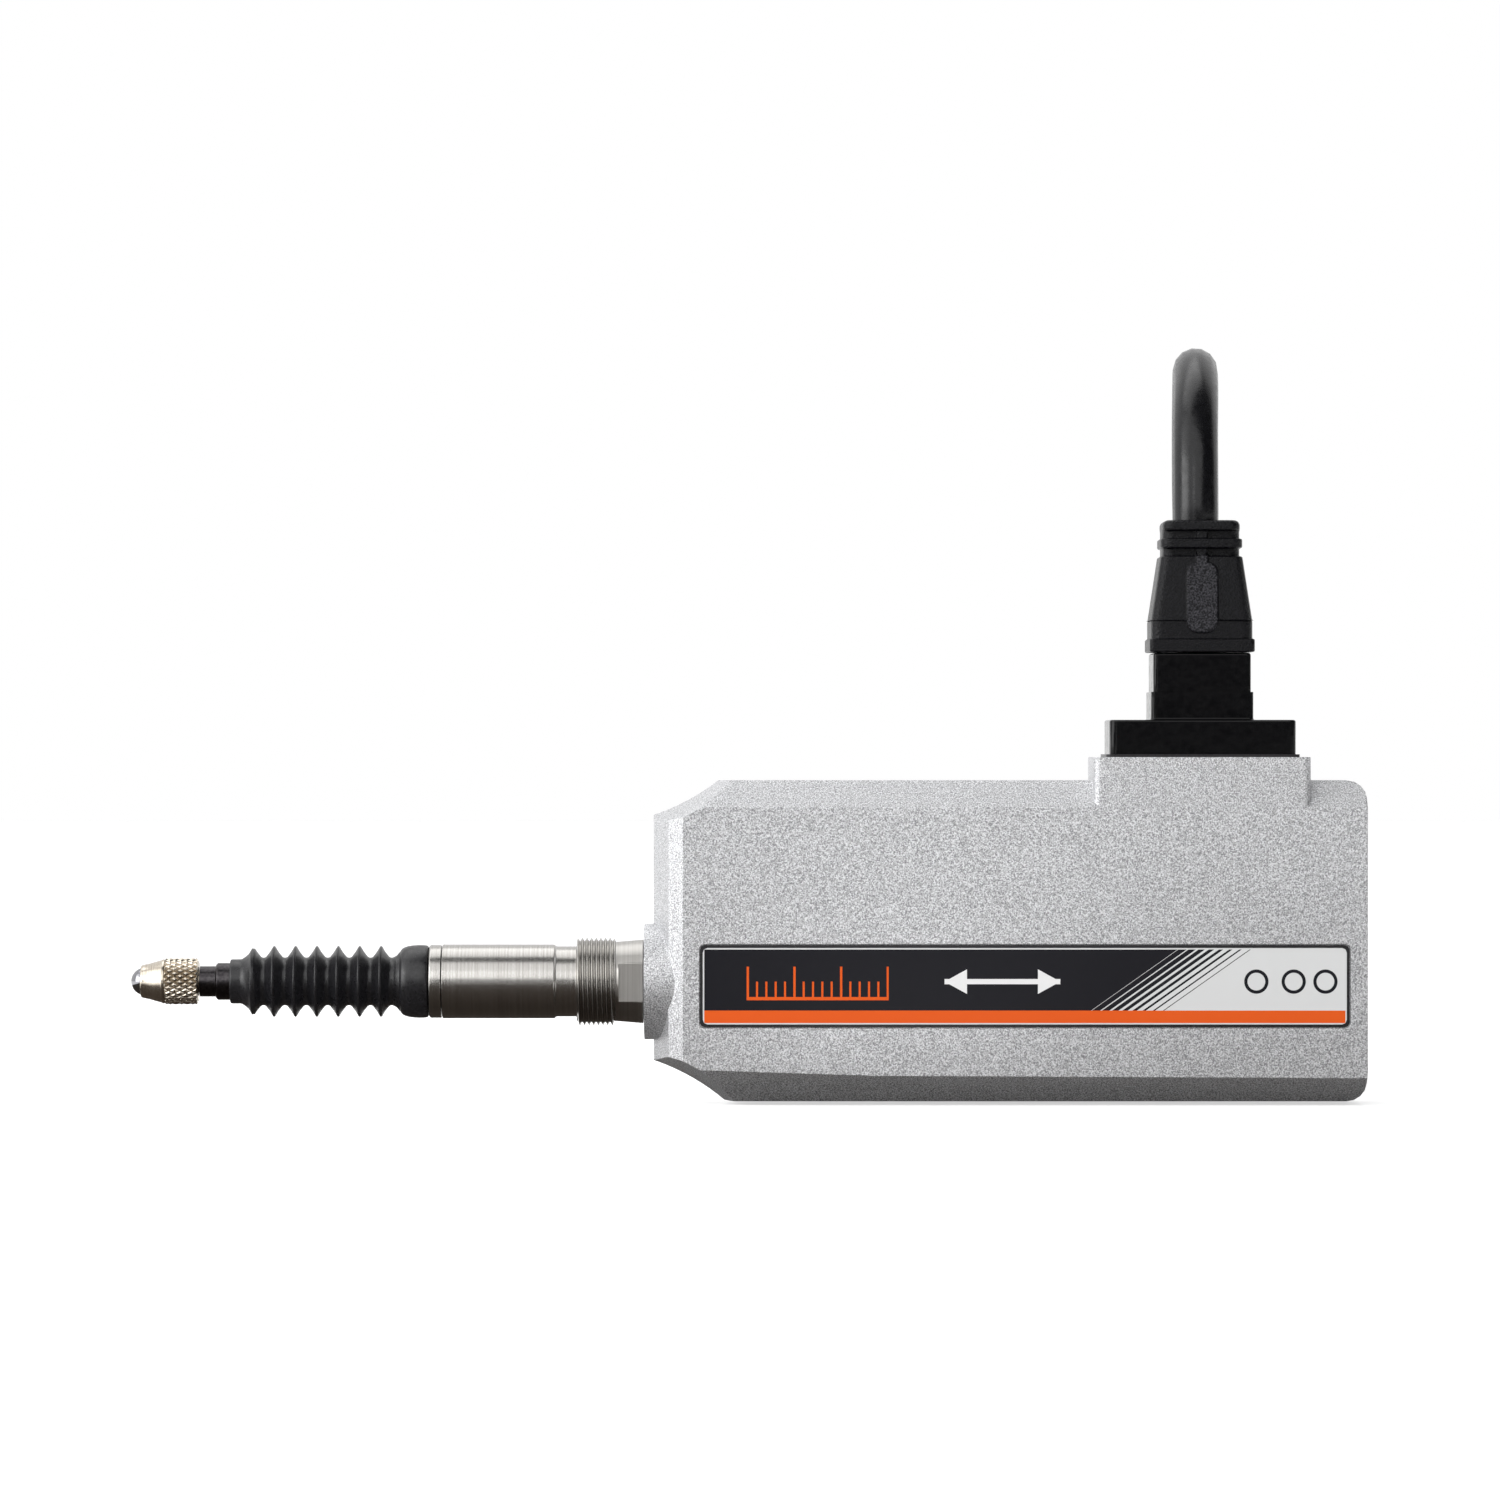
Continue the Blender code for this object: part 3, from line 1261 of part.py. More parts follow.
def socket_insert():
    """Socket body in the connector block with a circle of contact pins that stand into the plug."""
    at = (PLUG_X, 0.0, BLOCK_TOP_Z)
    low = BLOCK_TOP_Z - SOCKET_LENGTH
    body = disc("socket_insert", low, BLOCK_TOP_Z, SOCKET_DIAMETER / 2, PLASTIC, Z, at, 32)
    for index in range(PIN_COUNT):
        angle = 2 * math.pi * (index + 0.5) / PIN_COUNT
        x = PLUG_X + PIN_CIRCLE / 2 * math.cos(angle)
        y = PIN_CIRCLE / 2 * math.sin(angle)
        high = BLOCK_TOP_Z + CONTACT_RISE
        name = f"contact_pin_{index + 1}"
        radius = CONTACT_DIAMETER / 2
        join(body, disc(name, BLOCK_TOP_Z - OVERLAP, high, radius, None, Z, (x, y, 0.0), 8))
    return body


def socket_lead():
    """Lead from the underside of the socket to the header on the board."""
    start = (PLUG_X, 0.0, BLOCK_TOP_Z - SOCKET_LENGTH - SEAT)
    header_y = BOARD_Y - SEAT - HEADER_DEPTH / 2
    header_top = BOARD_TOP_Z - HEADER_DROP
    end_x = BOARD_REAR_X - HEADER_SETBACK + HEADER_LENGTH / 2
    end = (end_x, header_y, header_top + SEAT)
    bend = (start[2] - end[2]) / 3
    route = (
        start,
        (start[0], start[1], start[2] - bend),
        (end[0], end[1], end[2] + bend),
        end,
    )
    return tube("socket_lead", smooth_path(route, LEAD_POINT_SPACING), LEAD_DIAMETER, JACKET)


def plug_screw_places():
    reach = FLANGE_LENGTH / 2 - PLUG_SCREW_INSET
    return PLUG_X - reach, PLUG_X + reach


def plug_gasket():
    half_x = FLANGE_LENGTH / 2 + GASKET_OVERHANG
    half_y = FLANGE_WIDTH / 2 + GASKET_OVERHANG
    high_z = GASKET_Z + GASKET_THICKNESS
    low = (PLUG_X - half_x, -half_y, GASKET_Z)
    gasket = block("plug_gasket", low, (PLUG_X + half_x, half_y, high_z), RUBBER, FLANGE_CORNER)
    at = (PLUG_X, 0.0, 0.0)
    low_z = GASKET_Z - CUT_PAST
    cut(gasket, disc("gasket_bore", low_z, high_z + CUT_PAST, PLUG_POCKET / 2, None, Z, at))
    for index, x in enumerate(plug_screw_places(), 1):
        name = f"gasket_screw_hole_{index}"
        radius = PLUG_SCREW[2] + SEAT
        at = (x, 0.0, 0.0)
        cut(gasket, disc(name, low_z, high_z + CUT_PAST, radius, None, Z, at, COARSE))
    return gasket


def plug_base():
    """Flange and lower box in one moulding, hollow over the contact pins."""
    half_x = FLANGE_LENGTH / 2
    half_y = FLANGE_WIDTH / 2
    low = (PLUG_X - half_x, -half_y, FLANGE_Z)
    base = block("plug_base", low, (PLUG_X + half_x, half_y, FLANGE_TOP_Z), PLASTIC, FLANGE_CORNER)
    box_x = PLUG_BOX_LENGTH / 2
    box_y = PLUG_BOX_WIDTH / 2
    box_low = (PLUG_X - box_x, -box_y, FLANGE_TOP_Z - OVERLAP)
    join(
        base,
        block("plug_box", box_low, (PLUG_X + box_x, box_y, PLUG_BOX_TOP_Z), None, BOX_CORNER),
    )
    at = (PLUG_X, 0.0, 0.0)
    pocket_top = FLANGE_Z + PLUG_POCKET_DEPTH
    cut(base, disc("plug_pocket", FLANGE_Z - CUT_PAST, pocket_top, PLUG_POCKET / 2, None, Z, at))
    head_radius, head_height, shank_radius, _ = PLUG_SCREW
    for index, x in enumerate(plug_screw_places(), 1):
        seat_z = FLANGE_Z + head_height
        outline = (
            (FLANGE_TOP_Z + CUT_PAST, 0.0),
            (FLANGE_TOP_Z + CUT_PAST, head_radius + SEAT),
            (seat_z, head_radius + SEAT),
            (seat_z, shank_radius + SEAT),
            (FLANGE_Z - CUT_PAST, shank_radius + SEAT),
            (FLANGE_Z - CUT_PAST, 0.0),
        )
        cut(base, turned(f"counterbore_{index}", outline, None, Z, (x, 0.0, 0.0), COARSE))
        cap_screw(f"plug_screw_{index}", (x, 0.0, seat_z + SEAT), Z, PLUG_SCREW, STEEL)
    return base


def plug_cap():
    half_x = CAP_LENGTH / 2
    half_y = CAP_WIDTH / 2
    low = (PLUG_X - half_x, -half_y, CAP_Z)
    return block("plug_cap", low, (PLUG_X + half_x, half_y, CAP_TOP_Z), PLASTIC, BOX_CORNER)


def tapered_block(name, low_size, high_size, low_z, high_z, material, corner, rim=0.0):
    """A block with rounded upright edges whose top has its own size and can have a rounded rim."""
    shape, middle = cube_between(
        (PLUG_X - low_size[0] / 2, -low_size[1] / 2, low_z),
        (PLUG_X + low_size[0] / 2, low_size[1] / 2, high_z),
    )
    round_edges(shape, edges_along(shape, Z), corner, 3)
    if rim:
        around = [edge for edge in shape.edges if all(vert.co.z > 0.0 for vert in edge.verts)]
        round_edges(shape, around, rim, 2)
    for vert in shape.verts:
        if vert.co.z > 0.0:
            vert.co.x *= high_size[0] / low_size[0]
            vert.co.y *= high_size[1] / low_size[1]
    return from_bmesh(name, shape, material, middle)


def cable_boot():
    """Lip, straight foot and taper, then a rib and a collar around a core, joined by webs."""
    lip = (BOOT_LIP_LENGTH, BOOT_LIP_WIDTH)
    foot = (BOOT_LENGTH, BOOT_WIDTH)
    neck = (BOOT_TOP_LENGTH, BOOT_TOP_WIDTH)
    core = (BOOT_CORE_LENGTH, BOOT_CORE_WIDTH)
    collar = (COLLAR_LENGTH, COLLAR_WIDTH)
    boot = tapered_block("cable_boot", lip, lip, BOOT_Z, BOOT_BODY_Z, BOOT_RUBBER, BOX_CORNER)
    foot_z = BOOT_BODY_Z - OVERLAP
    taper_z = BOOT_TAPER_Z - SEAT
    core_z = BOOT_TOP_Z - OVERLAP
    core_top = COLLAR_Z + OVERLAP
    join(
        boot,
        tapered_block("boot_foot", foot, foot, foot_z, BOOT_TAPER_Z, None, BOOT_CORNER),
        tapered_block("boot_taper", foot, neck, taper_z, BOOT_TOP_Z, None, BOOT_CORNER),
        tapered_block("boot_core", core, core, core_z, core_top, None, BOOT_CORNER),
        tapered_block("boot_rib", neck, neck, RIB_Z, RIB_TOP_Z, None, BOOT_CORNER),
        tapered_block(
            "boot_collar", collar, collar, COLLAR_Z, EXIT_Z, None, BOOT_CORNER, COLLAR_EDGE
        ),
        block(
            "boot_web",
            (PLUG_X - SLOT_WEB / 2, SEAT - COLLAR_WIDTH / 2, core_z),
            (PLUG_X + SLOT_WEB / 2, COLLAR_WIDTH / 2 - SEAT, core_top),
            None,
        ),
        *boot_pads(),
    )
    bore = CABLE_DIAMETER / 2 + CABLE_GAP
    at = (PLUG_X, 0.0, 0.0)
    cut(boot, disc("boot_bore", BOOT_BODY_Z, EXIT_Z + CUT_PAST, bore, None, Z, at, 32))
    return boot


def boot_pads():
    """Raised grip pads on the boot's front and back, leaning with its taper, and their necks."""
    slope = (BOOT_WIDTH - BOOT_TOP_WIDTH) / 2 / BOOT_TAPER
    middle_y = (BOOT_WIDTH + BOOT_TOP_WIDTH) / 4 + PAD_RAISE - PAD_DEPTH
    pad_z = BOOT_BODY_Z + PAD_BOTTOM
    pad_top = pad_z + PAD_HEIGHT
    shapes = (
        ("boot_pad", PAD_WIDTH, pad_z, pad_top, PAD_CORNER),
        ("boot_pad_neck", SLOT_WEB, pad_top - PAD_CORNER, BOOT_TOP_Z, 0.0),
    )
    pads = []
    for side in (-1, 1):
        for name, width, low_z, high_z, corner in shapes:
            low = (PLUG_X - width / 2, -PAD_DEPTH, low_z)
            high = (PLUG_X + width / 2, PAD_DEPTH, high_z)
            pad = block(f"{name}_{side + 2}", low, high, None, corner, Y)
            above = (low_z + high_z) / 2 - (pad_z + pad_top) / 2
            pad.location.y = side * (middle_y - above * slope)
            pad.rotation_euler.x = side * math.atan(slope)
            pads.append(pad)
    return pads


def cable():
    """The cable's free stretch, and its tail from the foot of the coil to the far plug."""
    start = Vector((PLUG_X, 0.0, EXIT_Z))
    route = [start + Vector(offset) for offset in CABLE_ROUTE]
    tube("cable", smooth_path(route, ROUTE_POINT_SPACING), CABLE_DIAMETER, JACKET)
    start = Vector((FAR_PLUG_START, FAR_PLUG_Y, FAR_PLUG_Z))
    route = [start + Vector(offset) for offset in TAIL_ROUTE]
    tube("cable_tail", smooth_path(route, ROUTE_POINT_SPACING), CABLE_DIAMETER, JACKET)


def cable_coil():
    at = (*COIL_CENTRE, 0.0)
    return ring("cable_coil", 0.0, COIL_HEIGHT, COIL_INNER, COIL_OUTER, JACKET, Z, at, 32)


def far_plug():
    """The plug on the cable's far end, lying on the floor: grip, metal shell and insert."""
    at = (FAR_PLUG_START, FAR_PLUG_Y, FAR_PLUG_Z)
    grip_end = FAR_PLUG_START - GRIP_LENGTH
    radius = GRIP_DIAMETER / 2
    outline = (
        (FAR_PLUG_START, 0.0),
        (FAR_PLUG_START, GRIP_NECK / 2),
        (FAR_PLUG_START - GRIP_LENGTH * 0.35, GRIP_NECK / 2 * 1.25),
        (FAR_PLUG_START - GRIP_LENGTH * 0.50, radius - 2 * EDGE_BREAK),
        (FAR_PLUG_START - GRIP_LENGTH * 0.60, radius),
        (grip_end, radius),
        (grip_end, 0.0),
    )
    turned("far_plug_grip", outline, BOOT_RUBBER, X, at, COARSE)
    shell_high = grip_end - SEAT
    outer = SHELL_DIAMETER / 2
    inner = outer - SHELL_WALL
    ring("far_plug_shell", shell_high - SHELL_LENGTH, shell_high, inner, outer, NICKEL, X, at, 32)
    low = shell_high - INSERT_LENGTH
    disc("far_plug_insert", low, shell_high, inner - SEAT, PLASTIC, X, at, COARSE)


def carried(name, location, *pieces):
    """An empty on a joint's axis, with the pieces that move with it."""
    empty = bpy.data.objects.new(name, None)
    empty.empty_display_size = 0.005
    empty.location = location
    PARTS.objects.link(empty)
    for piece in pieces:
        piece.parent = empty
        piece.matrix_parent_inverse = Matrix.Translation(location).inverted()
    return empty


def build():
    housing()
    label_plate()
    back_cover()
    cover_gasket()
    stem()
    stem_seal()
    stem_nut()
    front_bush()
    bellows()
    bump_stop()
    spring_parts()
    guide_rail()
    reader_head()
    circuit_board()
    socket_insert()
    socket_lead()
    plug_gasket()
    plug_base()
    plug_cap()
    cable_boot()
    cable()
    cable_coil()
    far_plug()
    moving = (spindle(), contact_point(), contact_ball(), *carrier_parts())
    carried("spindle_slide", (SPINDLE_X, 0.0, AXIS_HEIGHT), *moving)
    cage = ball_cage()
    carried("cage_slide", (BUSH_REAR_X, 0.0, AXIS_HEIGHT), cage)


build()
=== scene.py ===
# %% [markdown]
# # A linear displacement sensor
# The real object is a small gauge head. A spring pushes a ball-tipped spindle out of a ground
# steel stem, a rubber bellows keeps dust off it, and a flat die-cast housing reads how far it has
# moved. The CAD model already holds every solid in its true place, so this lesson only dresses it:
# it rounds edges, cuts the thread and the knurl, folds the rubber and gives each piece its finish.

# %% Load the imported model
import json
import math

import bmesh
import bpy
from mathutils import Matrix, Vector


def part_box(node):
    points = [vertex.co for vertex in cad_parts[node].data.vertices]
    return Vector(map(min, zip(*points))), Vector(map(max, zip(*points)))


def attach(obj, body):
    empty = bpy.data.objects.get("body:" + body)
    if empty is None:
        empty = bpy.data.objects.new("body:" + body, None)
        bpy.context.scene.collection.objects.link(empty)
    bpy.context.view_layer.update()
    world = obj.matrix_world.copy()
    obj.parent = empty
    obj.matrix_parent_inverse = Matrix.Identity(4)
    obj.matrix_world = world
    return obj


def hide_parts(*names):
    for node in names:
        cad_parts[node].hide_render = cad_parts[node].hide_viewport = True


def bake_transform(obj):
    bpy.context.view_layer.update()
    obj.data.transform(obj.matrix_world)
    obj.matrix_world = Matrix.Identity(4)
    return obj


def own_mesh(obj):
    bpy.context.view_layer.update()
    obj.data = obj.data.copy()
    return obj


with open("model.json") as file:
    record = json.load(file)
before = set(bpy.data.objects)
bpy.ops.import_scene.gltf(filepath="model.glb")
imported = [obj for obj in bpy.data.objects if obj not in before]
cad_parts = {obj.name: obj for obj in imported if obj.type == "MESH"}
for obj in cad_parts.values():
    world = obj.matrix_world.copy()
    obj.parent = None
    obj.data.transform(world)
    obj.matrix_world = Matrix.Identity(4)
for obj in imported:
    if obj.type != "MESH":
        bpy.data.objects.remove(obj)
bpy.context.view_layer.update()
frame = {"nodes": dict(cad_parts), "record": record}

scene = bpy.context.scene
scene.view_settings.view_transform = "Standard"
MM = 0.001
AXIS_Z = 12.8 * MM  # height of the spindle's axis
body_of = {
    node: body
    for body, nodes in frame["record"]["behaviour"]["bodies"].items()
    for node in nodes
}
slot_of = {row["node"]: row["material_slot"] for row in frame["record"]["subparts"]}

# %% [markdown]
# ## The camera
# The picture was taken from straight in front and from a good distance, so the sides hardly show.
# Three quarters of a metre with a long lens gives the same slight perspective. The camera looks
# level along +Y, a little above the middle of the housing.

# %% Camera
SENSOR_WIDTH, FOCAL_LENGTH, CAMERA_DISTANCE = 36.0, 167.85, 756.0  # millimetres
camera_data = bpy.data.cameras.new("portrait_lens")
camera_data.sensor_width = SENSOR_WIDTH
camera_data.lens = FOCAL_LENGTH
camera_data.clip_start = 0.05
camera = bpy.data.objects.new("camera", camera_data)
camera.location = (0.36 * MM, -CAMERA_DISTANCE * MM, 37.81 * MM)
camera.rotation_euler = (math.radians(90.0), 0.0, 0.0)
scene.collection.objects.link(camera)
scene.camera = camera
view_width = SENSOR_WIDTH / FOCAL_LENGTH * CAMERA_DISTANCE
print("the view is", round(view_width, 1), "mm wide at the housing")

# %% [markdown]
# ## The cable
# A round jacketed cable of 4.9 mm leaves the plug straight up, arches over and goes down behind
# the housing. What the picture doesn't show is put away as a neat coil there. A cable is one
# smooth line with a round section, so it is a Bezier curve with a bevel depth, not a mesh.
# The coil has three walls: down the inner one, up the middle one and down the outer one, a
# diameter apart, so no turn passes through another.

# %% The cable's centreline
CABLE_DIAMETER = 4.9 * MM
CABLE_EXIT = Vector((48.55, 0.0, 62.55)) * MM
ARCH = (  # from the exit, in millimetres
    (0.0, 0.0, 0.0), (0.0, 0.0, 1.5), (0.1, 2.1, 9.4), (0.5, 7.8, 15.1), (0.9, 15.6, 17.1),
    (1.3, 23.3, 15.1), (1.6, 29.0, 9.4), (1.8, 31.1, 1.5), (2.2, 31.8, -8.5),
    (3.2, 33.2, -18.5), (5.6, 36.1, -27.7), (9.2, 40.5, -34.5), (12.8, 46.2, -38.6),
)
COIL_MIDDLE = (31.5, 50.0)
WALLS = (22.5, 27.5, 32.5)  # radii of the coil's inner, middle and outer wall
TOP, UPPER, FOOT = 22.6, 17.5, 2.5  # heights of its turns
PLUG_START = Vector((38.0, 94.0, 7.0)) * MM
TAIL = (  # from the far plug's grip, in millimetres
    (25.9, -33.5, -4.5), (25.9, -24.5, -4.2), (25.3, -18.0, -4.2), (21.7, -9.0, -3.4),
    (14.0, -2.2, -1.5), (4.8, 0.0, 0.0), (0.3, 0.0, 0.0),
)


def winding(stages, points_a_turn=16):
    """Points of a coil: each stage turns by some degrees and ends at a radius and a height."""
    angle, radius, height = stages[0]
    points = [(angle, radius, height)]
    for turned_by, end_radius, end_height in stages[1:]:
        count = max(3, round(turned_by / 360.0 * points_a_turn))
        for step in range(1, count + 1):
            share = step / count
            eased = share * share * (3 - 2 * share) if end_radius != radius else share
            points.append((
                angle + turned_by * share,
                radius + (end_radius - radius) * eased,
                height + (end_height - height) * share,
            ))
        angle, radius, height = points[-1]
    middle = Vector((*COIL_MIDDLE, 0.0))
    return [
        (middle + Vector((r * math.cos(math.radians(a)), r * math.sin(math.radians(a)), z))) * MM
        for a, r, z in points
    ]


inner, middle, outer = WALLS
coil = winding((  # degrees turned, radius and height at the end of the stage
    (12.0, 32.2, TOP + 0.2),
    (180.0, inner, TOP),
    (1440.0, inner, FOOT),
    (90.0, middle, FOOT),
    (1080.0, middle, UPPER),
    (90.0, outer, UPPER),
    (1068.0, outer, FOOT),
))
line = [CABLE_EXIT + Vector(point) * MM for point in ARCH]
line += coil
line += [PLUG_START + Vector(point) * MM for point in TAIL]
length = sum((b - a).length for a, b in zip(line, line[1:]))
print("the cable has", len(line), "points and is", round(length, 3), "m long")

# %% [markdown]
# The curve passes through each point, with its handles set by Blender, so it bends evenly.

# %% The cable
cable_curve = bpy.data.curves.new("cable_line", "CURVE")
cable_curve.dimensions = "3D"
cable_curve.bevel_depth = 1.0  # times each knot's radius
cable_curve.bevel_resolution = 5
cable_curve.resolution_u = 5
cable_curve.use_fill_caps = True
spline = cable_curve.splines.new("BEZIER")
spline.bezier_points.add(len(line) - 1)
for knot, point in zip(spline.bezier_points, line):
    knot.co = point
    knot.radius = CABLE_DIAMETER / 2
    knot.handle_left_type = knot.handle_right_type = "AUTO"
signal_cable = bpy.data.objects.new("signal_cable", cable_curve)
scene.collection.objects.link(signal_cable)
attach(signal_cable, "sensor_body")
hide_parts("cable", "cable_coil", "cable_tail")

# %% [markdown]
# ## The floor, the background and the light
# The sensor lies in front of plain white. The floor is white too, and glows a little for the
# camera and for reflections, so that only the soft shadow shows on it. The room is bright on the
# left and behind, and dim behind the camera: polished steel gets its dark and light bands from
# that. Black cards lie under and before the sensor, where a photographer puts them to give round
# bars a dark lower half. They are hidden from the camera and cast no shadow.

# %% Floor and cards
FLOOR_HEIGHT, CARD_HEIGHT = -0.4 * MM, -0.2 * MM


def stage_plane(name, corners, height):
    """A flat polygon; the corners run against the clock, seen from above."""
    shape = bmesh.new()
    shape.faces.new([shape.verts.new((x, y, height)) for x, y in corners])
    mesh = bpy.data.meshes.new(name)
    shape.to_mesh(mesh)
    shape.free()
    plane = bpy.data.objects.new(name, mesh)
    scene.collection.objects.link(plane)
    return plane


floor = stage_plane("floor", ((-3.0, -3.0), (3.0, -3.0), (3.0, 3.0), (-3.0, 3.0)), FLOOR_HEIGHT)
near_card = stage_plane("black_card_near", (
    (-0.11, -0.22), (-0.002, -0.22), (0.004, -0.020), (0.03, -0.032), (0.055, -0.15), (0.10, -0.18),
    (0.10, 0.04), (-0.11, 0.04),
), CARD_HEIGHT)
far_card = stage_plane("black_card_far", (
    (-0.35, -1.40), (0.45, -1.40), (0.45, -0.26), (-0.35, -0.26),
), CARD_HEIGHT)
for card in (near_card, far_card):
    card.visible_camera = False
    card.visible_diffuse = False
    card.visible_shadow = False
print("floor and", len((near_card, far_card)), "cards")

# %% [markdown]
# A finish is a small network of nodes. These helpers add a node, do a sum, and start a material
# from Blender's Principled shader. The floor and the cards get their paint with them: the floor's
# glow is multiplied by a mask of the rays that look at the background.

# %% Helpers for nodes, and the stage's paint
FLOOR_GLOW = 0.6


def add_node(owner, kind, **sockets):
    """A node of that kind; sockets are its input values, by name."""
    made = owner.node_tree.nodes.new("ShaderNode" + kind)
    for socket, value in sockets.items():
        made.inputs[socket].default_value = value
    return made


def maths(owner, operation, *values):
    """One Math node; each value is a number or another node's output."""
    made = add_node(owner, "Math")
    made.operation = operation
    for socket, value in zip(made.inputs, values):
        if isinstance(value, (int, float)):
            socket.default_value = value
        else:
            owner.node_tree.links.new(value, socket)
    return made.outputs[0]


def seen_rays(owner):
    """1 for the rays that show the background itself: camera, glossy and transmission rays."""
    rays = add_node(owner, "LightPath").outputs
    seen = maths(owner, "MAXIMUM", rays["Is Camera Ray"], rays["Is Glossy Ray"])
    return maths(owner, "MAXIMUM", seen, rays["Is Transmission Ray"])


def shader_of(material):
    return material.node_tree.nodes["Principled BSDF"]


def finish(name, colour, roughness, metallic=0.0, **sockets):
    """A material with even values; sockets are further inputs, with _ for each space."""
    material = bpy.data.materials.new(name)
    material.use_nodes = True
    inputs = shader_of(material).inputs
    inputs["Base Color"].default_value = (*colour, 1.0)
    inputs["Roughness"].default_value = roughness
    inputs["Metallic"].default_value = metallic
    for socket, value in sockets.items():
        inputs[socket.replace("_", " ")].default_value = value
    return material


floor_paint = finish("white_floor", (0.85, 0.85, 0.85), 0.9, Emission_Color=(1.0, 1.0, 1.0, 1.0))
glow = maths(floor_paint, "MULTIPLY", seen_rays(floor_paint), FLOOR_GLOW)
floor_paint.node_tree.links.new(glow, shader_of(floor_paint).inputs["Emission Strength"])
floor.data.materials.append(floor_paint)
card_paint = finish("black_card_paint", (0.042, 0.031, 0.023), 0.9)
for card in (near_card, far_card):
    card.data.materials.append(card_paint)
print("paint on the floor and the cards")

# %% [markdown]
# The room is a world whose brightness follows the direction: bright towards the upper left and
# behind the sensor, nearly dark behind the camera. What the camera sees of it is always white.
# Four soft lamps do the rest: a wide key above the camera, one from the left for the nose and the
# plug's edges, one from above for the chamfer, and a thin strip for a glint on the blacks.

# %% Room and lamps
BRIGHT_SIDE = (-0.60, 0.78, -0.18)
DIMMEST, BRIGHTEST = 0.07, 1.0
room = bpy.data.worlds.new("white_room")
scene.world = room
room.use_nodes = True
link = room.node_tree.links.new
backdrop = room.node_tree.nodes["Background"]
direction = add_node(room, "TexCoord")
towards = add_node(room, "VectorMath")
towards.operation = "DOT_PRODUCT"
towards.inputs[1].default_value = BRIGHT_SIDE
level = add_node(
    room, "MapRange",
    **{"From Min": -0.25, "From Max": 0.30, "To Min": DIMMEST, "To Max": BRIGHTEST},
)
link(direction.outputs["Generated"], towards.inputs[0])
link(towards.outputs["Value"], level.inputs["Value"])
heading = add_node(room, "SeparateXYZ")
behind = add_node(room, "MapRange", **{"From Min": 0.2, "From Max": 0.5})
link(direction.outputs["Generated"], heading.inputs[0])
link(heading.outputs["Y"], behind.inputs["Value"])
white_wall = maths(room, "MULTIPLY", seen_rays(room), behind.outputs["Result"])
strength = maths(room, "MAXIMUM", level.outputs["Result"], white_wall)
strength = maths(room, "MAXIMUM", strength, add_node(room, "LightPath").outputs["Is Camera Ray"])
backdrop.inputs["Color"].default_value = (1.0, 1.0, 1.0, 1.0)
link(strength, backdrop.inputs["Strength"])


def softbox(name, place, aim, size, watts):
    """A rectangular lamp at a place, turned to what it lights."""
    lamp = bpy.data.lights.new(name, "AREA")
    lamp.shape = "RECTANGLE"
    lamp.size, lamp.size_y = size
    lamp.energy = watts
    box = bpy.data.objects.new(name, lamp)
    box.location = place
    box.rotation_euler = (Vector(aim) - Vector(place)).to_track_quat("-Z", "Y").to_euler()
    scene.collection.objects.link(box)


HOUSING, PLUG = (0.0, 0.0, 0.03), (0.03, 0.0, 0.06)
softbox("key_softbox", (-0.30, -0.62, 0.55), HOUSING, (2.20, 0.90), 8.7)
softbox("left_softbox", (-0.62, -0.34, 0.18), HOUSING, (0.50, 0.50), 2.3)
softbox("top_softbox", (-0.10, 0.17, 0.70), HOUSING, (0.70, 0.50), 1.5)
softbox("strip_softbox", (-0.13, -0.72, 0.22), PLUG, (0.05, 0.50), 0.25)
print("a room and", len(bpy.data.lights), "softboxes")

# %% [markdown]
# ## Finishes
# No real surface has one flat colour. Each finish here starts from Blender's Principled shader,
# and a noise pattern on Object coordinates varies its colour, its roughness and its height. The
# helpers below keep every recipe to a few lines. Object coordinates are in metres, so a pattern
# with a scale of 7000 has features of about 1/7 mm.

# %% Helpers for finishes
def axes_of(material):
    """X, Y and Z of the shaded point, in metres."""
    place = add_node(material, "TexCoord")
    axes = add_node(material, "SeparateXYZ")
    material.node_tree.links.new(place.outputs["Object"], axes.inputs[0])
    return axes.outputs["X"], axes.outputs["Y"], axes.outputs["Z"]


def pattern(material, scale, stretch=(1.0, 1.0, 1.0), detail=2.0, contrast=(0.3, 0.7)):
    """Noise from 0 to 1; stretch squeezes it along an axis, contrast cuts off its ends."""
    where = add_node(material, "TexCoord")
    mapping = add_node(material, "Mapping", Scale=stretch)
    noise = add_node(material, "TexNoise", Scale=scale, Detail=detail)
    spread = add_node(material, "MapRange", **{"From Min": contrast[0], "From Max": contrast[1]})
    wire = material.node_tree.links.new
    wire(where.outputs["Object"], mapping.inputs["Vector"])
    wire(mapping.outputs["Vector"], noise.inputs["Vector"])
    wire(noise.outputs["Fac"], spread.inputs["Value"])
    return spread.outputs["Result"]


def tint(material, share, dark, light):
    """Colour from dark at 0 to light at 1. Gives the ramp back, to add a step to it."""
    mix = add_node(material, "ValToRGB")
    mix.color_ramp.elements[0].color = (*dark, 1.0)
    mix.color_ramp.elements[1].color = (*light, 1.0)
    wire = material.node_tree.links.new
    wire(share, mix.inputs["Fac"])
    wire(mix.outputs["Color"], shader_of(material).inputs["Base Color"])
    return mix.color_ramp


def polish(material, share, low, high):
    """Roughness from low at 0 to high at 1, and beyond it for a share above 1."""
    level = add_node(material, "MapRange", **{"To Min": low, "To Max": high})
    level.clamp = False
    wire = material.node_tree.links.new
    wire(share, level.inputs["Value"])
    wire(level.outputs["Result"], shader_of(material).inputs["Roughness"])


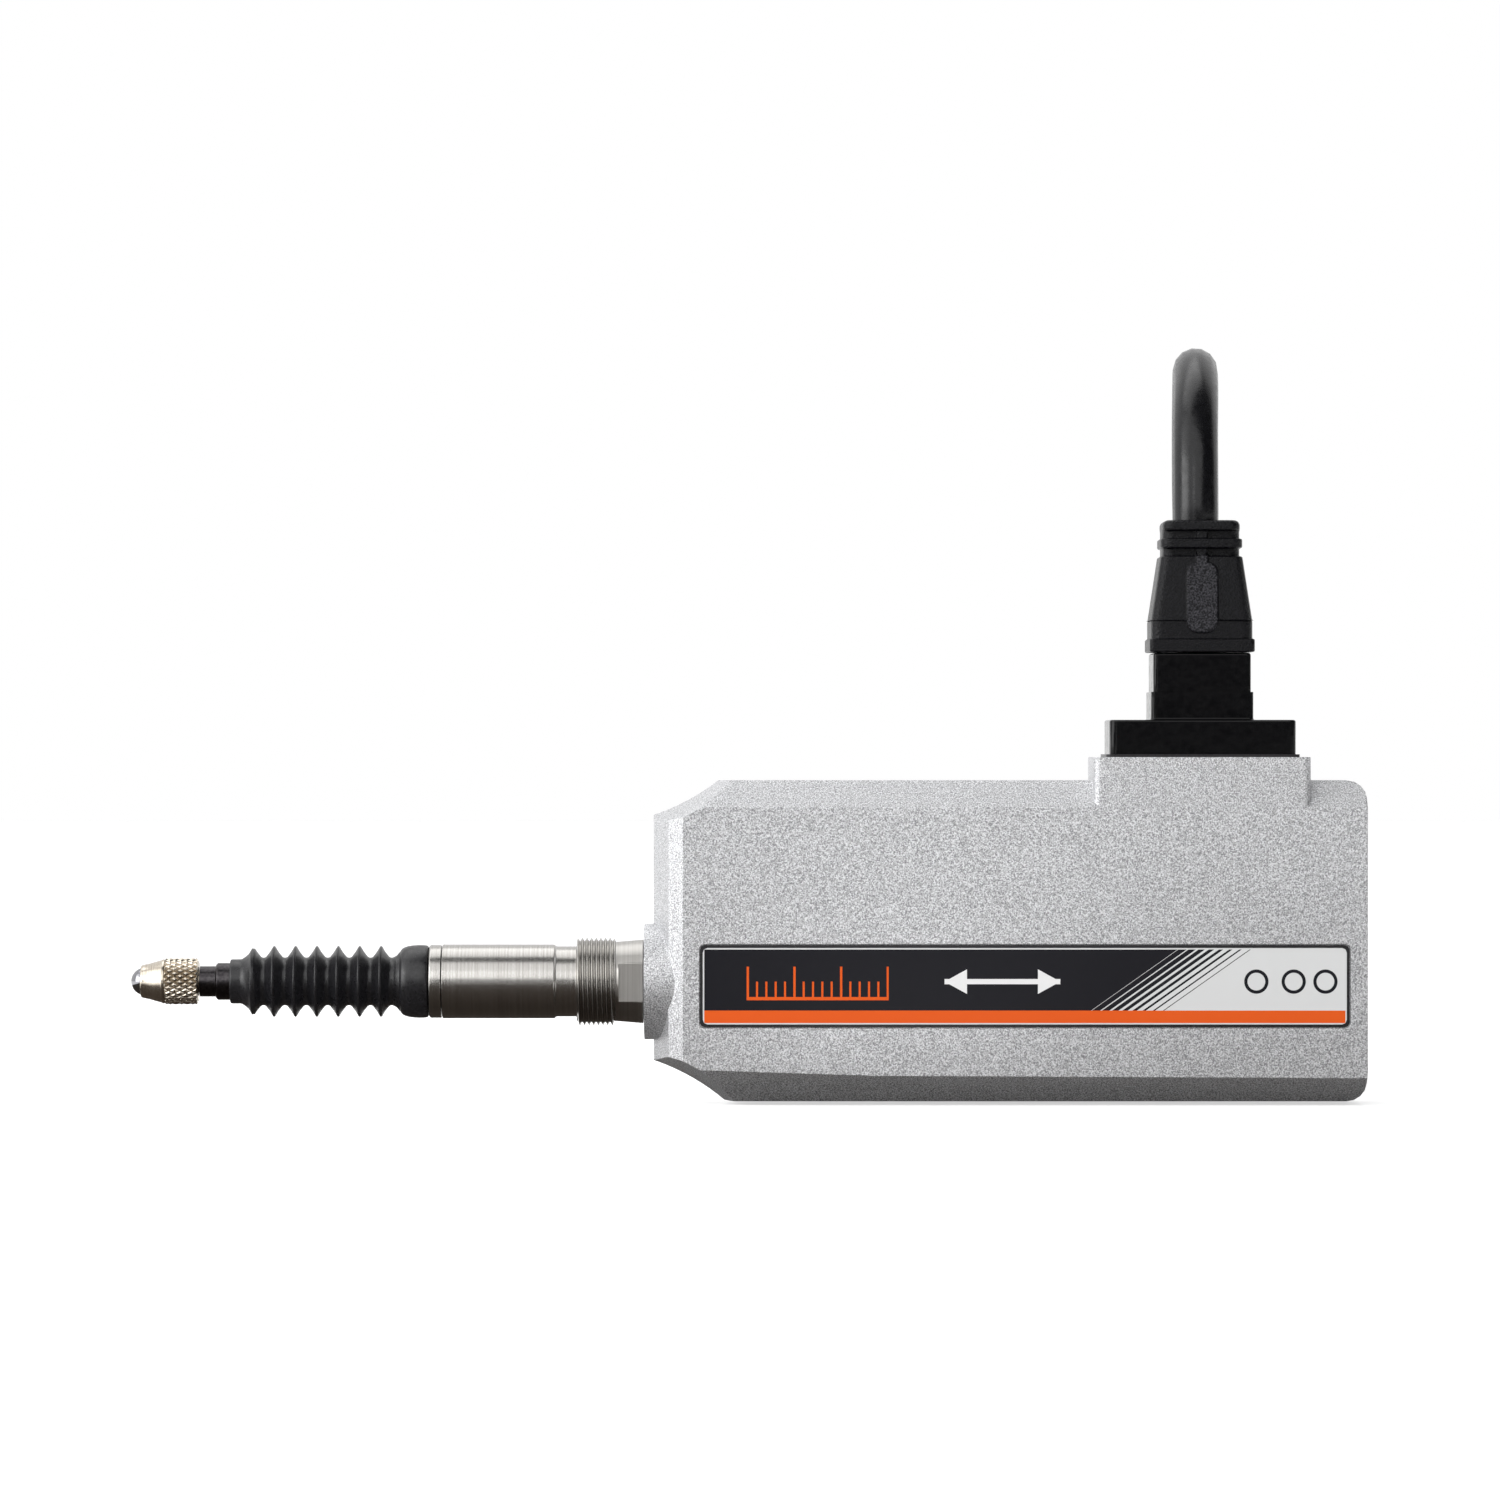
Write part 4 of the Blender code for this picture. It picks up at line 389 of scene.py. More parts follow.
def relief(material, share, depth):
    """Height of that many metres. A second call stacks on the first."""
    bump = add_node(material, "Bump", Strength=1.0, Distance=depth)
    normal = shader_of(material).inputs["Normal"]
    wire = material.node_tree.links.new
    if normal.is_linked:
        wire(normal.links[0].from_socket, bump.inputs["Normal"])
    wire(share, bump.inputs["Height"])
    wire(bump.outputs["Normal"], normal)


# %% [markdown]
# The housing is cast and then blasted, so it sparkles like fine sand: light and dark specks of a
# tenth of a millimetre. Two noises do that, a fine one for the specks and a coarse one that
# keeps the faces from looking even.

# %% Cast metal
cast_metal = finish("cast_metal", (0.6, 0.6, 0.62), 0.48, 0.75)
specks = pattern(cast_metal, 7500.0, detail=1.0, contrast=(0.32, 0.68))
tint(cast_metal, specks, (0.27, 0.27, 0.283), (0.88, 0.885, 0.90))
polish(cast_metal, pattern(cast_metal, 9000.0), 0.38, 0.62)
relief(cast_metal, specks, 0.012 * MM)
relief(cast_metal, pattern(cast_metal, 700.0), 0.004 * MM)

# %% [markdown]
# Ground and turned steel carry fine rings round the axis. Noise that is squeezed a hundred times
# along X turns into rings. The stem's collar isn't ground, so it is duller than the rest. The
# spindle is hardened and darker; the contact point and the far plug's shell are nickelled brass,
# warm in tone.

# %% Turned metals
RINGS = (1.0, 0.012, 0.012)
COLLAR_START, COLLAR_DULLNESS = -14.1 * MM, 1.6
ground_steel = finish("ground_steel", (0.6, 0.59, 0.57), 0.24, 1.0)
rings = pattern(ground_steel, 5000.0, RINGS)
tint(ground_steel, rings, (0.395, 0.38, 0.36), (0.49, 0.48, 0.46))
collar = maths(ground_steel, "GREATER_THAN", axes_of(ground_steel)[0], COLLAR_START)
dull = maths(ground_steel, "MULTIPLY", collar, COLLAR_DULLNESS)
polish(ground_steel, maths(ground_steel, "ADD", pattern(ground_steel, 4000.0), dull), 0.20, 0.27)
relief(ground_steel, pattern(ground_steel, 8000.0, detail=1.0), 0.0008 * MM)

hardened_steel = finish("hardened_steel", (0.25, 0.25, 0.26), 0.28, 1.0)
tint(hardened_steel, pattern(hardened_steel, 3500.0), (0.035, 0.032, 0.035), (0.07, 0.065, 0.068))
relief(hardened_steel, pattern(hardened_steel, 9000.0, RINGS), 0.0005 * MM)

nickelled_brass = finish("nickelled_brass", (0.6, 0.54, 0.46), 0.22, 1.0)
rings = pattern(nickelled_brass, 7000.0, RINGS)
tint(nickelled_brass, rings, (0.52, 0.46, 0.385), (0.68, 0.62, 0.53))
relief(nickelled_brass, rings, 0.0008 * MM)
print("ground, hardened and nickelled metals")

# %% [markdown]
# The ball is polished like a mirror. The brass and the milled aluminium are inside, where nobody
# looks closely, but they get their grain as well: brass mottled, aluminium with long mill marks.

# %% Ball, brass and aluminium
carbide = finish("carbide", (0.30, 0.30, 0.32), 0.07, 1.0)
polish(carbide, pattern(carbide, 3000.0), 0.05, 0.10)

brass = finish("brass", (0.62, 0.48, 0.22), 0.3, 1.0)
tint(brass, pattern(brass, 2500.0), (0.52, 0.39, 0.17), (0.68, 0.53, 0.26))
plain_aluminium = finish("plain_aluminium", (0.62, 0.62, 0.64), 0.35, 1.0)
milled = pattern(plain_aluminium, 6000.0, (0.05, 1.0, 1.0))
tint(plain_aluminium, milled, (0.52, 0.52, 0.54), (0.68, 0.68, 0.70))
relief(plain_aluminium, milled, 0.002 * MM)
print("ball, brass and aluminium")

# %% [markdown]
# Black isn't one finish either. The bellows is satin rubber, the plug is glossy moulded plastic
# whose surface waves a little, so its reflections break up, the boot is matt with a fine grain, and
# the cable's jacket lies between them. On the boot's raised pad the grain is painted much lighter:
# its light specks are painted glints. The boot's faces lean back, so a mask for the pad adds a
# share of the height to the distance from the middle.

# %% Blacks
rubber = finish("rubber", (0.011, 0.011, 0.012), 0.36)
tint(rubber, pattern(rubber, 4000.0), (0.006, 0.006, 0.007), (0.014, 0.0135, 0.016))
polish(rubber, pattern(rubber, 2500.0), 0.26, 0.40)
relief(rubber, pattern(rubber, 5000.0), 0.002 * MM)

gloss_plastic = finish("gloss_plastic", (0.003, 0.003, 0.0035), 0.12, Specular_IOR_Level=0.22)
polish(gloss_plastic, pattern(gloss_plastic, 1500.0), 0.08, 0.2)
relief(gloss_plastic, pattern(gloss_plastic, 500.0, detail=1.0), 0.012 * MM)

boot_rubber = finish("boot_rubber", (0.006, 0.006, 0.008), 0.3, Specular_IOR_Level=0.18)
grain = pattern(boot_rubber, 5500.0, detail=1.0)
BOOT_TAPER = 0.0855  # how fast the boot's front leans back
PAD_SURFACE, PAD_FOOT, PAD_TOP = 9.43 * MM, 50.2 * MM, 58.8 * MM
OFF_PAD = 0.25  # share of the ramp that the boot uses beside the pad
_, boot_y, boot_z = axes_of(boot_rubber)
out = maths(boot_rubber, "MULTIPLY_ADD", boot_z, BOOT_TAPER, maths(boot_rubber, "ABSOLUTE", boot_y))
glint_pad_mask = maths(boot_rubber, "GREATER_THAN", out, PAD_SURFACE)
for limit in (
    maths(boot_rubber, "GREATER_THAN", boot_z, PAD_FOOT),
    maths(boot_rubber, "LESS_THAN", boot_z, PAD_TOP),
):
    glint_pad_mask = maths(boot_rubber, "MULTIPLY", glint_pad_mask, limit)
# Painted glints: on the pad the grain reaches the light end of the ramp, light specks that stand
# for glints; beside the pad only the dark grain shows.
glint_gain = maths(boot_rubber, "MULTIPLY_ADD", glint_pad_mask, 1.0 - OFF_PAD, OFF_PAD)
grain_and_glint_shares = maths(boot_rubber, "MULTIPLY", grain, glint_gain)
grain_and_glint_ramp = tint(boot_rubber, grain_and_glint_shares, (0.001, 0.001, 0.0015), (0.050, 0.049, 0.056))
grain_and_glint_ramp.elements.new(OFF_PAD).color = (0.006, 0.006, 0.008, 1.0)
relief(boot_rubber, grain, 0.04 * MM)

cable_jacket = finish("cable_jacket", (0.006, 0.006, 0.0075), 0.3, Specular_IOR_Level=0.4)
tint(cable_jacket, pattern(cable_jacket, 1800.0), (0.002, 0.002, 0.0028), (0.005, 0.005, 0.0065))
polish(cable_jacket, pattern(cable_jacket, 1200.0), 0.20, 0.32)
relief(cable_jacket, pattern(cable_jacket, 3500.0), 0.004 * MM)
print("four blacks")

# %% [markdown]
# Two finishes are left for the inside: the clear glass of the scale, and the green laminate of
# the circuit board with a faint weave.

# %% Glass and laminate
glass = finish("glass", (0.80, 0.88, 0.88), 0.04, Transmission_Weight=0.9, IOR=1.5)
polish(glass, pattern(glass, 800.0), 0.02, 0.08)
laminate = finish("laminate", (0.04, 0.20, 0.08), 0.4)
weave = pattern(laminate, 1500.0, (1.0, 1.0, 0.2))
tint(laminate, weave, (0.025, 0.14, 0.05), (0.05, 0.24, 0.10))
print("glass and laminate")

# %% [markdown]
# ## The label
# The label is a printed film: black, an orange stripe along its foot and a light field on the
# right, joined by slanting lines that change from thin white ones to thin black ones. The print
# is worked out from the position alone: each mark is a mask of 0 and 1, made with comparisons.
# The places of the maker's words stay generic, with a plain scale, a travel arrow and rings.

# %% Masks for the print
label_film = finish("label_film", (0.02, 0.02, 0.025), 0.32, Specular_IOR_Level=0.22)
paint = label_film.node_tree.links.new
ACROSS, _, UP = axes_of(label_film)


def calc(operation, *values):
    return maths(label_film, operation, *values)


def within(value, low, high):
    """1 where the value lies between the two."""
    return calc("MULTIPLY", calc("GREATER_THAN", value, low), calc("LESS_THAN", value, high))


def both(first, second):
    return calc("MULTIPLY", first, second)


def either(first, second):
    return calc("MAXIMUM", first, second)


# %% [markdown]
# A repeating mark comes from the fraction that is left when a distance is divided by its step: it
# runs from 0 to 1 in each step, and a comparison turns its first part into a line. The slanting
# lines do this with a distance that leans, and grow wider from step to step. A ring is where the
# distance from a point lies between two radii.

# %% The print
STRIPE_TOP = 9.9 * MM  # the orange stripe fills the label's foot up to here
SLANT = 1.417  # how far a line leans for each step up
LINE_STEP, LINES_START, LINES = 0.98 * MM, 36.9 * MM, 8
FIRST_WIDTH, WIDTH_GROWTH = 0.07, 0.1  # shares of a step
TICK_FOOT, TICK_TOP, LONG_TICK_TOP = 11.3 * MM, 13.0 * MM, 14.6 * MM
SHORT_TICKS, LONG_TICKS = (1.0 * MM, 0.22), (5.0 * MM, 0.05)  # step, and width as a share of it
RULE_FOOT, RULE_TOP, RULE_END = 11.0 * MM, 11.35 * MM, 15.22 * MM
ARROW_LEFT, ARROW_RIGHT = 21.2 * MM, 33.6 * MM
HALF_SHAFT, HEAD_LENGTH, HEAD_SLOPE = 0.28 * MM, 2.4 * MM, 0.55
MARKS_Z = 13.0 * MM  # height of the arrow's and the rings' middle
RING_PLACES, RING_INSIDE, RING_OUTSIDE = (54.6, 58.6, 62.0), 0.95 * MM, 1.3 * MM

slanted = calc("SUBTRACT", ACROSS, calc("MULTIPLY", calc("SUBTRACT", UP, STRIPE_TOP), SLANT))
count = calc("DIVIDE", calc("SUBTRACT", slanted, LINES_START), LINE_STEP)
width = calc("MULTIPLY_ADD", count, WIDTH_GROWTH, FIRST_WIDTH)
lines = both(calc("LESS_THAN", calc("FRACT", count), width), calc("GREATER_THAN", count, 0.0))
light = either(lines, calc("GREATER_THAN", count, float(LINES)))

scale_marks = within(UP, RULE_FOOT, RULE_TOP)
for (step, thickness), top in ((SHORT_TICKS, TICK_TOP), (LONG_TICKS, LONG_TICK_TOP)):
    ticks = within(calc("FRACT", calc("DIVIDE", ACROSS, step)), 0.0, thickness)
    scale_marks = either(scale_marks, both(ticks, within(UP, TICK_FOOT, top)))
scale_marks = both(scale_marks, within(ACROSS, 0.0, RULE_END))

lift = calc("SUBTRACT", UP, MARKS_Z)
from_middle = calc("ABSOLUTE", lift)
arrow = calc("LESS_THAN", from_middle, HALF_SHAFT)
for from_end in (calc("SUBTRACT", ACROSS, ARROW_LEFT), calc("SUBTRACT", ARROW_RIGHT, ACROSS)):
    in_cone = calc("LESS_THAN", from_middle, calc("MULTIPLY", from_end, HEAD_SLOPE))
    arrow = either(arrow, both(in_cone, calc("LESS_THAN", from_end, HEAD_LENGTH)))
arrow = both(arrow, within(ACROSS, ARROW_LEFT, ARROW_RIGHT))

rings_mask = 0.0
for ring_x in RING_PLACES:
    off = calc("SUBTRACT", ACROSS, ring_x * MM)
    distance = calc("SQRT", calc("ADD", calc("MULTIPLY", off, off), calc("MULTIPLY", lift, lift)))
    rings_mask = either(rings_mask, within(distance, RING_INSIDE, RING_OUTSIDE))
print("masks for lines, scale, arrow and", len(RING_PLACES), "rings")

# %% [markdown]
# The masks are laid over one another like coats of ink, each with its colour: first the black
# ground, then the light field with its lines, the scale, the arrow, the rings and the stripe. The
# last mask is a clear edge all round, because a film isn't printed right up to where it is cut.

# %% Colours of the print
CLEAR_EDGE = 0.16 * MM
BLACK, ORANGE, PALE, WHITE = (
    (0.007, 0.0068, 0.0105, 1.0), (0.75, 0.100, 0.008, 1.0),
    (0.66, 0.665, 0.665, 1.0), (0.80, 0.80, 0.80, 1.0),
)


def over(under, mask, colour):
    """The colour where the mask is 1, and what is under it elsewhere."""
    mix = add_node(label_film, "Mix")
    mix.data_type = "RGBA"
    factor, first, second = mix.inputs[0], mix.inputs[6], mix.inputs[7]
    paint(mask, factor)
    if isinstance(under, tuple):
        first.default_value = under
    else:
        paint(under, first)
    second.default_value = colour
    return mix.outputs[2]


print_colour = over(BLACK, light, PALE)
print_colour = over(print_colour, scale_marks, ORANGE)
print_colour = over(print_colour, arrow, WHITE)
print_colour = over(print_colour, rings_mask, BLACK)
print_colour = over(print_colour, calc("LESS_THAN", UP, STRIPE_TOP), ORANGE)
film_low, film_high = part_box("label_plate")
printed = both(
    within(ACROSS, film_low.x + CLEAR_EDGE, film_high.x - CLEAR_EDGE),
    within(UP, film_low.z + CLEAR_EDGE, film_high.z - CLEAR_EDGE),
)
print_colour = over(print_colour, calc("SUBTRACT", 1.0, printed), PALE)
paint(print_colour, shader_of(label_film).inputs["Base Color"])
polish(label_film, pattern(label_film, 2500.0), 0.28, 0.40)
relief(label_film, pattern(label_film, 1200.0), 0.002 * MM)
print("label print with", len(label_film.node_tree.nodes), "nodes")

# %% [markdown]
# ## Every CAD node gets its finish
# The record says which finish each node has. The hidden pieces keep their CAD shapes and only get
# their material here; the pieces that show are refined after this.

# %% Finishes by slot
FINISHES = {
    "cast_metal": cast_metal, "ground_steel": ground_steel, "hardened_steel": hardened_steel,
    "nickelled_brass": nickelled_brass, "carbide": carbide, "rubber": rubber,
    "gloss_plastic": gloss_plastic, "boot_rubber": boot_rubber, "cable_jacket": cable_jacket,
    "label_film": label_film, "glass": glass, "laminate": laminate, "brass": brass,
    "plain_aluminium": plain_aluminium,
}
for name, solid in frame["nodes"].items():
    solid.material_slots[0].material = FINISHES[slot_of[name]]
cable_curve.materials.append(cable_jacket)
print(len(FINISHES), "finishes on", len(frame["nodes"]), "nodes")

# %% [markdown]
# ## Pieces that keep their CAD shape but get real edges
# Nothing that is cast, moulded or turned has a perfectly sharp edge, and it is the thin light line
# along an edge that makes metal look real. A copy of the CAD mesh is merged, its flat faces are
# joined, and a Bevel modifier rounds the edges. Weighted normals keep the flat faces flat.

# %% Helpers for refined pieces
FLAT_ANGLE, SHARP_ANGLE = 0.5, 25.0  # degrees


def keep_mesh(name, shape, node, smooth=True):
    """Turns a bmesh into a piece with the finish and the slot of a node."""
    mesh = bpy.data.meshes.new(name)
    shape.to_mesh(mesh)
    shape.free()
    mesh.materials.append(FINISHES[slot_of[node]])
    for face in mesh.polygons:
        face.use_smooth = smooth
    piece = bpy.data.objects.new(name, mesh)
    scene.collection.objects.link(piece)
    return piece


def merged_copy(node):
    """The node's mesh with its doubles merged and its flat triangles joined."""
    shape = bmesh.new()
    shape.from_mesh(frame["nodes"][node].data)
    bmesh.ops.remove_doubles(shape, verts=shape.verts, dist=0.002 * MM)
    bmesh.ops.dissolve_limit(
        shape, angle_limit=math.radians(FLAT_ANGLE), verts=shape.verts, edges=shape.edges
    )
    return shape


def round_off(piece, width, segments=2, angle=SHARP_ANGLE):
    """Rounds the edges that are sharper than the angle, and keeps the flat faces flat."""
    bevel = piece.modifiers.new("rounded_edges", "BEVEL")
    bevel.width = width
    bevel.segments = segments
    bevel.limit_method = "ANGLE"
    bevel.angle_limit = math.radians(angle)
    bevel.use_clamp_overlap = False
    normals = piece.modifiers.new("flat_faces", "WEIGHTED_NORMAL")
    normals.weight = 100
    normals.keep_sharp = True
    return bevel


def refined(name, node, width, segments=2, angle=SHARP_ANGLE, above=-1.0, below=1.0, shape=None):
    """A copy of a node with round edges, where they are sharp and between two heights."""
    shape = shape or merged_copy(node)
    weights = shape.edges.layers.float.new("bevel_weight_edge")
    for edge in shape.edges:
        sharp = edge.is_manifold and edge.calc_face_angle(0.0) > math.radians(angle)
        low, high = sorted(end.co.z for end in edge.verts)
        rounded = sharp and low > above and high < below
        edge[weights] = float(rounded)
        edge.smooth = rounded or not sharp
    piece = keep_mesh(name, shape, node)
    round_off(piece, width, segments).limit_method = "WEIGHT"
    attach(piece, body_of[node])
    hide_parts(node)
    return piece


# %% [markdown]
# The housing's lower front edge isn't quite level in the picture: it drops as it leaves the nose.
# So that edge gets a knee, and the knee and its far end are let down. The edge is found by its
# place: of the edges on the front face at the chamfer's height, it is the longest.

# %% Housing
CHAMFER_TOP = 3.5 * MM  # height of the edge in the CAD shape
KNEE_X, KNEE_DROP, END_DROP = 13.7 * MM, 0.60 * MM, 0.86 * MM
shape = merged_copy("housing")
front_y = min(vertex.co.y for vertex in shape.verts)
on_edge = [
    vertex for vertex in shape.verts
    if vertex.co.y < front_y + 0.1 * MM and abs(vertex.co.z - CHAMFER_TOP) < 0.03 * MM
]
long_edge = max(
    (edge for vertex in on_edge for edge in vertex.link_edges if set(edge.verts) <= set(on_edge)),
    key=lambda edge: edge.calc_length(),
)
left_end, right_end = sorted(long_edge.verts, key=lambda vertex: vertex.co.x)
share = (KNEE_X - left_end.co.x) / (right_end.co.x - left_end.co.x)
_, knee = bmesh.utils.edge_split(long_edge, left_end, share)
knee.co.z -= KNEE_DROP
for vertex in on_edge:
    if vertex.co.x > KNEE_X:
        vertex.co.z -= END_DROP
print("knee at", [round(1000 * value, 2) for value in knee.co])
refined("cast_housing", "housing", 0.05 * MM, shape=shape)

# %% [markdown]
# A black sheet a little larger than the film lies behind the label, so a dark line runs round the
# print: painted shade for the shadowed gap of the label's pocket. Both come from the same node: the
# sheet is its outline, spread by a hair, and the film's back is drawn forward to the sheet's front.

# %% Label
SHADE_SHEET_FRONT, SHADE_SHEET_BACK, SHADE_SHEET_SPREAD = -6.74 * MM, -6.66 * MM, 0.30 * MM
film_middle = (film_low + film_high) / 2
shape = merged_copy("label_plate")
shade_sheet_shape = shape.copy()
for vertex in shape.verts:
    vertex.co.y = min(vertex.co.y, SHADE_SHEET_FRONT)
for vertex in shade_sheet_shape.verts:
    off = vertex.co - film_middle
    vertex.co.x += math.copysign(SHADE_SHEET_SPREAD, off.x)
    vertex.co.z += math.copysign(SHADE_SHEET_SPREAD, off.z)
    vertex.co.y = SHADE_SHEET_FRONT if off.y < 0.0 else SHADE_SHEET_BACK
refined("printed_label", "label_plate", 0.04 * MM, shape=shape)
# Painted shade: the dark sheet round the film stands for the shadow in the gap of the label's
# pocket.
pocket_shade_sheet = keep_mesh("pocket_shade_sheet", shade_sheet_shape, "label_plate", smooth=False)
pocket_shade_sheet.data.materials[0] = rubber
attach(pocket_shade_sheet, "sensor_body")
print("film and bed:", len(pocket_shade_sheet.data.polygons), "faces in the bed")

# %% [markdown]
# Each piece has its own edge radius: a generous one on moulded plastic, a tight one on turned
# steel. Where two pieces of the plug meet, the edges stay sharp, so that the joint is a thin line,
# and the cap's foot is let down onto the flange, so that no light shines between them.

# %% Cover and plug
CAP_FOOT = 44.06 * MM
refined("rear_cover", "back_cover", 0.15 * MM)
refined("bush_ring", "front_bush", 0.06 * MM)
refined("spindle_rod", "spindle", 0.05 * MM)
refined("plug_flange", "plug_base", 0.22 * MM, 3, above=37.5 * MM, below=43.8 * MM)
shape = merged_copy("plug_cap")
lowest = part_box("plug_cap")[0].z
for vertex in shape.verts:
    if vertex.co.z < lowest + 0.05 * MM:
        vertex.co.z = CAP_FOOT
refined("plug_top", "plug_cap", 0.25 * MM, 3, above=44.3 * MM, shape=shape)
refined("strain_relief", "cable_boot", 0.16 * MM, 3, 40.0)
for number in (1, 2, 3, 4):
    refined(f"cover_cap_screw_{number}", f"cover_screw_{number}", 0.08 * MM)
for number in (1, 2):
    refined(f"plug_cap_screw_{number}", f"plug_screw_{number}", 0.08 * MM)
far_grip = refined("mating_plug_grip", "far_plug_grip", 0.30 * MM, 3)
far_shell = refined("mating_plug_shell", "far_plug_shell", 0.12 * MM)
far_insert = refined("mating_plug_insert", "far_plug_insert", 0.10 * MM)
print("cover, bush, spindle, plug and far plug with round edges")

# %% [markdown]
# The far plug's contacts are six pins in a ring and one in the middle, a plain common pattern.
# Each is a cone cut short, turned to point out of the plug, with its foot sunk in the insert.

# %% Pins of the far plug
PIN_RADIUS, PIN_LENGTH, PIN_RING, PINS_IN_RING = 0.45 * MM, 2.0 * MM, 3.5 * MM, 6
insert_low, insert_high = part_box("far_plug_insert")
plug_middle = (insert_low + insert_high) / 2
shape = bmesh.new()
along_x = Matrix.Rotation(math.radians(-90.0), 4, "Y")
for number in range(PINS_IN_RING + 1):
    turn = math.tau * number / PINS_IN_RING
    reach = PIN_RING if number < PINS_IN_RING else 0.0
    place = Vector((
        insert_low.x - 0.4 * PIN_LENGTH,
        plug_middle.y + reach * math.cos(turn), plug_middle.z + reach * math.sin(turn),
    ))
    bmesh.ops.create_cone(
        shape, cap_ends=True, segments=12, radius1=PIN_RADIUS, radius2=0.7 * PIN_RADIUS,
        depth=PIN_LENGTH, matrix=Matrix.Translation(place) @ along_x,
    )
far_pins = keep_mesh("mating_plug_pins", shape, "far_plug_shell")
round_off(far_pins, 0.1 * MM)
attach(far_pins, "sensor_body")
print("pins:", len(far_pins.data.polygons), "faces")

# %% [markdown]
# A strap holds the coil together, as on any cable that comes in a box. It is a closed band: the
# inner outline follows the coil's section, the outer one lies a thickness outside it, each is made
# at both sides of the band, and the four loops are bridged all round.

# %% Strap round the coil
STRAP_ANGLE, STRAP_WIDTH, STRAP_THICKNESS = math.radians(140.0), 7.0, 0.45
strap_inside = (  # distance from the coil's middle, height
    (19.75, 2.0), (20.3, 0.6), (21.6, 0.25), (33.4, 0.25), (34.7, 0.6), (35.25, 2.0),
    (35.25, 15.9), (35.0, 17.0), (34.4, 17.9), (26.5, 24.8), (25.6, 25.25), (24.5, 25.35),
    (23.2, 25.05), (22.2, 24.1), (20.0, 19.3), (19.75, 18.0),
)
strap_outside = []
for index, (reach, height) in enumerate(strap_inside):
    before, after = strap_inside[index - 1], strap_inside[(index + 1) % len(strap_inside)]
    outward = Vector((after[1] - before[1], before[0] - after[0])).normalized()
    pushed = Vector((reach, height)) + outward * STRAP_THICKNESS
    strap_outside.append((pushed.x, max(0.0, pushed.y)))
shape = bmesh.new()
loops = []
for outline, side in (
    (strap_inside, -0.5), (strap_inside, 0.5), (strap_outside, 0.5), (strap_outside, -0.5),
):
    ring = [shape.verts.new((r * MM, side * STRAP_WIDTH * MM, z * MM)) for r, z in outline]
    loops.append([shape.edges.new(pair) for pair in zip(ring, ring[1:] + ring[:1])])
for index in range(4):
    bmesh.ops.bridge_loops(shape, edges=loops[index] + loops[(index + 1) % 4])
turned = Matrix.Translation((COIL_MIDDLE[0] * MM, COIL_MIDDLE[1] * MM, 0.0))
turned = turned @ Matrix.Rotation(STRAP_ANGLE, 4, "Z")
bmesh.ops.transform(shape, matrix=turned, verts=shape.verts)
bmesh.ops.recalc_face_normals(shape, faces=shape.faces)
coil_strap = keep_mesh("coil_strap", shape, "cover_gasket")
round_off(coil_strap, 0.1 * MM)
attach(coil_strap, "sensor_body")
print("strap:", len(coil_strap.data.polygons), "faces")

# %% [markdown]
# The plug's gasket is squeezed, so it fills the gap between the block and the flange right up.
# The CAD one leaves a hair's breadth on both sides, and light would shine through it.

# %% Gasket
GASKET_MIDDLE, GASKET_SWELL = 37.2 * MM, 1.5
shape = merged_copy("plug_gasket")
for vertex in shape.verts:
    vertex.co.z = GASKET_MIDDLE + (vertex.co.z - GASKET_MIDDLE) * GASKET_SWELL
flange_gasket = keep_mesh("flange_gasket", shape, "plug_gasket", smooth=False)
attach(flange_gasket, "sensor_body")
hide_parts("plug_gasket")

# %% [markdown]
# ## The stem and its thread
# A turned part is its half section, spun round the axis. The helpers below do that, and measure
# and set how far a point lies from the axis.

# %% Turned shapes
def lathe(outline, steps, closed=True):
    """Spins (x, radius) points round the spindle's axis; a closed outline makes a ring."""
    shape = bmesh.new()
    points = [shape.verts.new((x * MM, 0.0, AXIS_Z + radius * MM)) for x, radius in outline]
    edges = [shape.edges.new(pair) for pair in zip(points, points[1:])]
    if closed:
        edges.append(shape.edges.new((points[-1], points[0])))
    bmesh.ops.spin(
        shape, geom=points + edges, cent=(0.0, 0.0, AXIS_Z), axis=(1.0, 0.0, 0.0),
        angle=math.tau, steps=steps, use_merge=True,
    )
    bmesh.ops.remove_doubles(shape, verts=shape.verts, dist=0.0005 * MM)
    bmesh.ops.recalc_face_normals(shape, faces=shape.faces)
    return shape


def evenly(low, high, step):
    """Places from low to high, about a step apart."""
    count = max(1, round((high - low) / step))
    return [low + (high - low) * index / count for index in range(count + 1)]


def radius_of(point):
    """How far a point lies from the spindle's axis."""
    return math.hypot(point.y, point.z - AXIS_Z)


def set_radius(vertex, radius):
    """Moves a point straight out or in, to a radius."""
    scale = radius / radius_of(vertex.co)
    vertex.co.y *= scale
    vertex.co.z = AXIS_Z + (vertex.co.z - AXIS_Z) * scale


# %% [markdown]
# The stem is one turning: wrench flats, a fine thread, a relief and the ground clamping length.
# The CAD shape keeps a plain cylinder where the thread is. Here that zone is let down to a core,
# and a sleeve with the real helix is set on it in the next step.

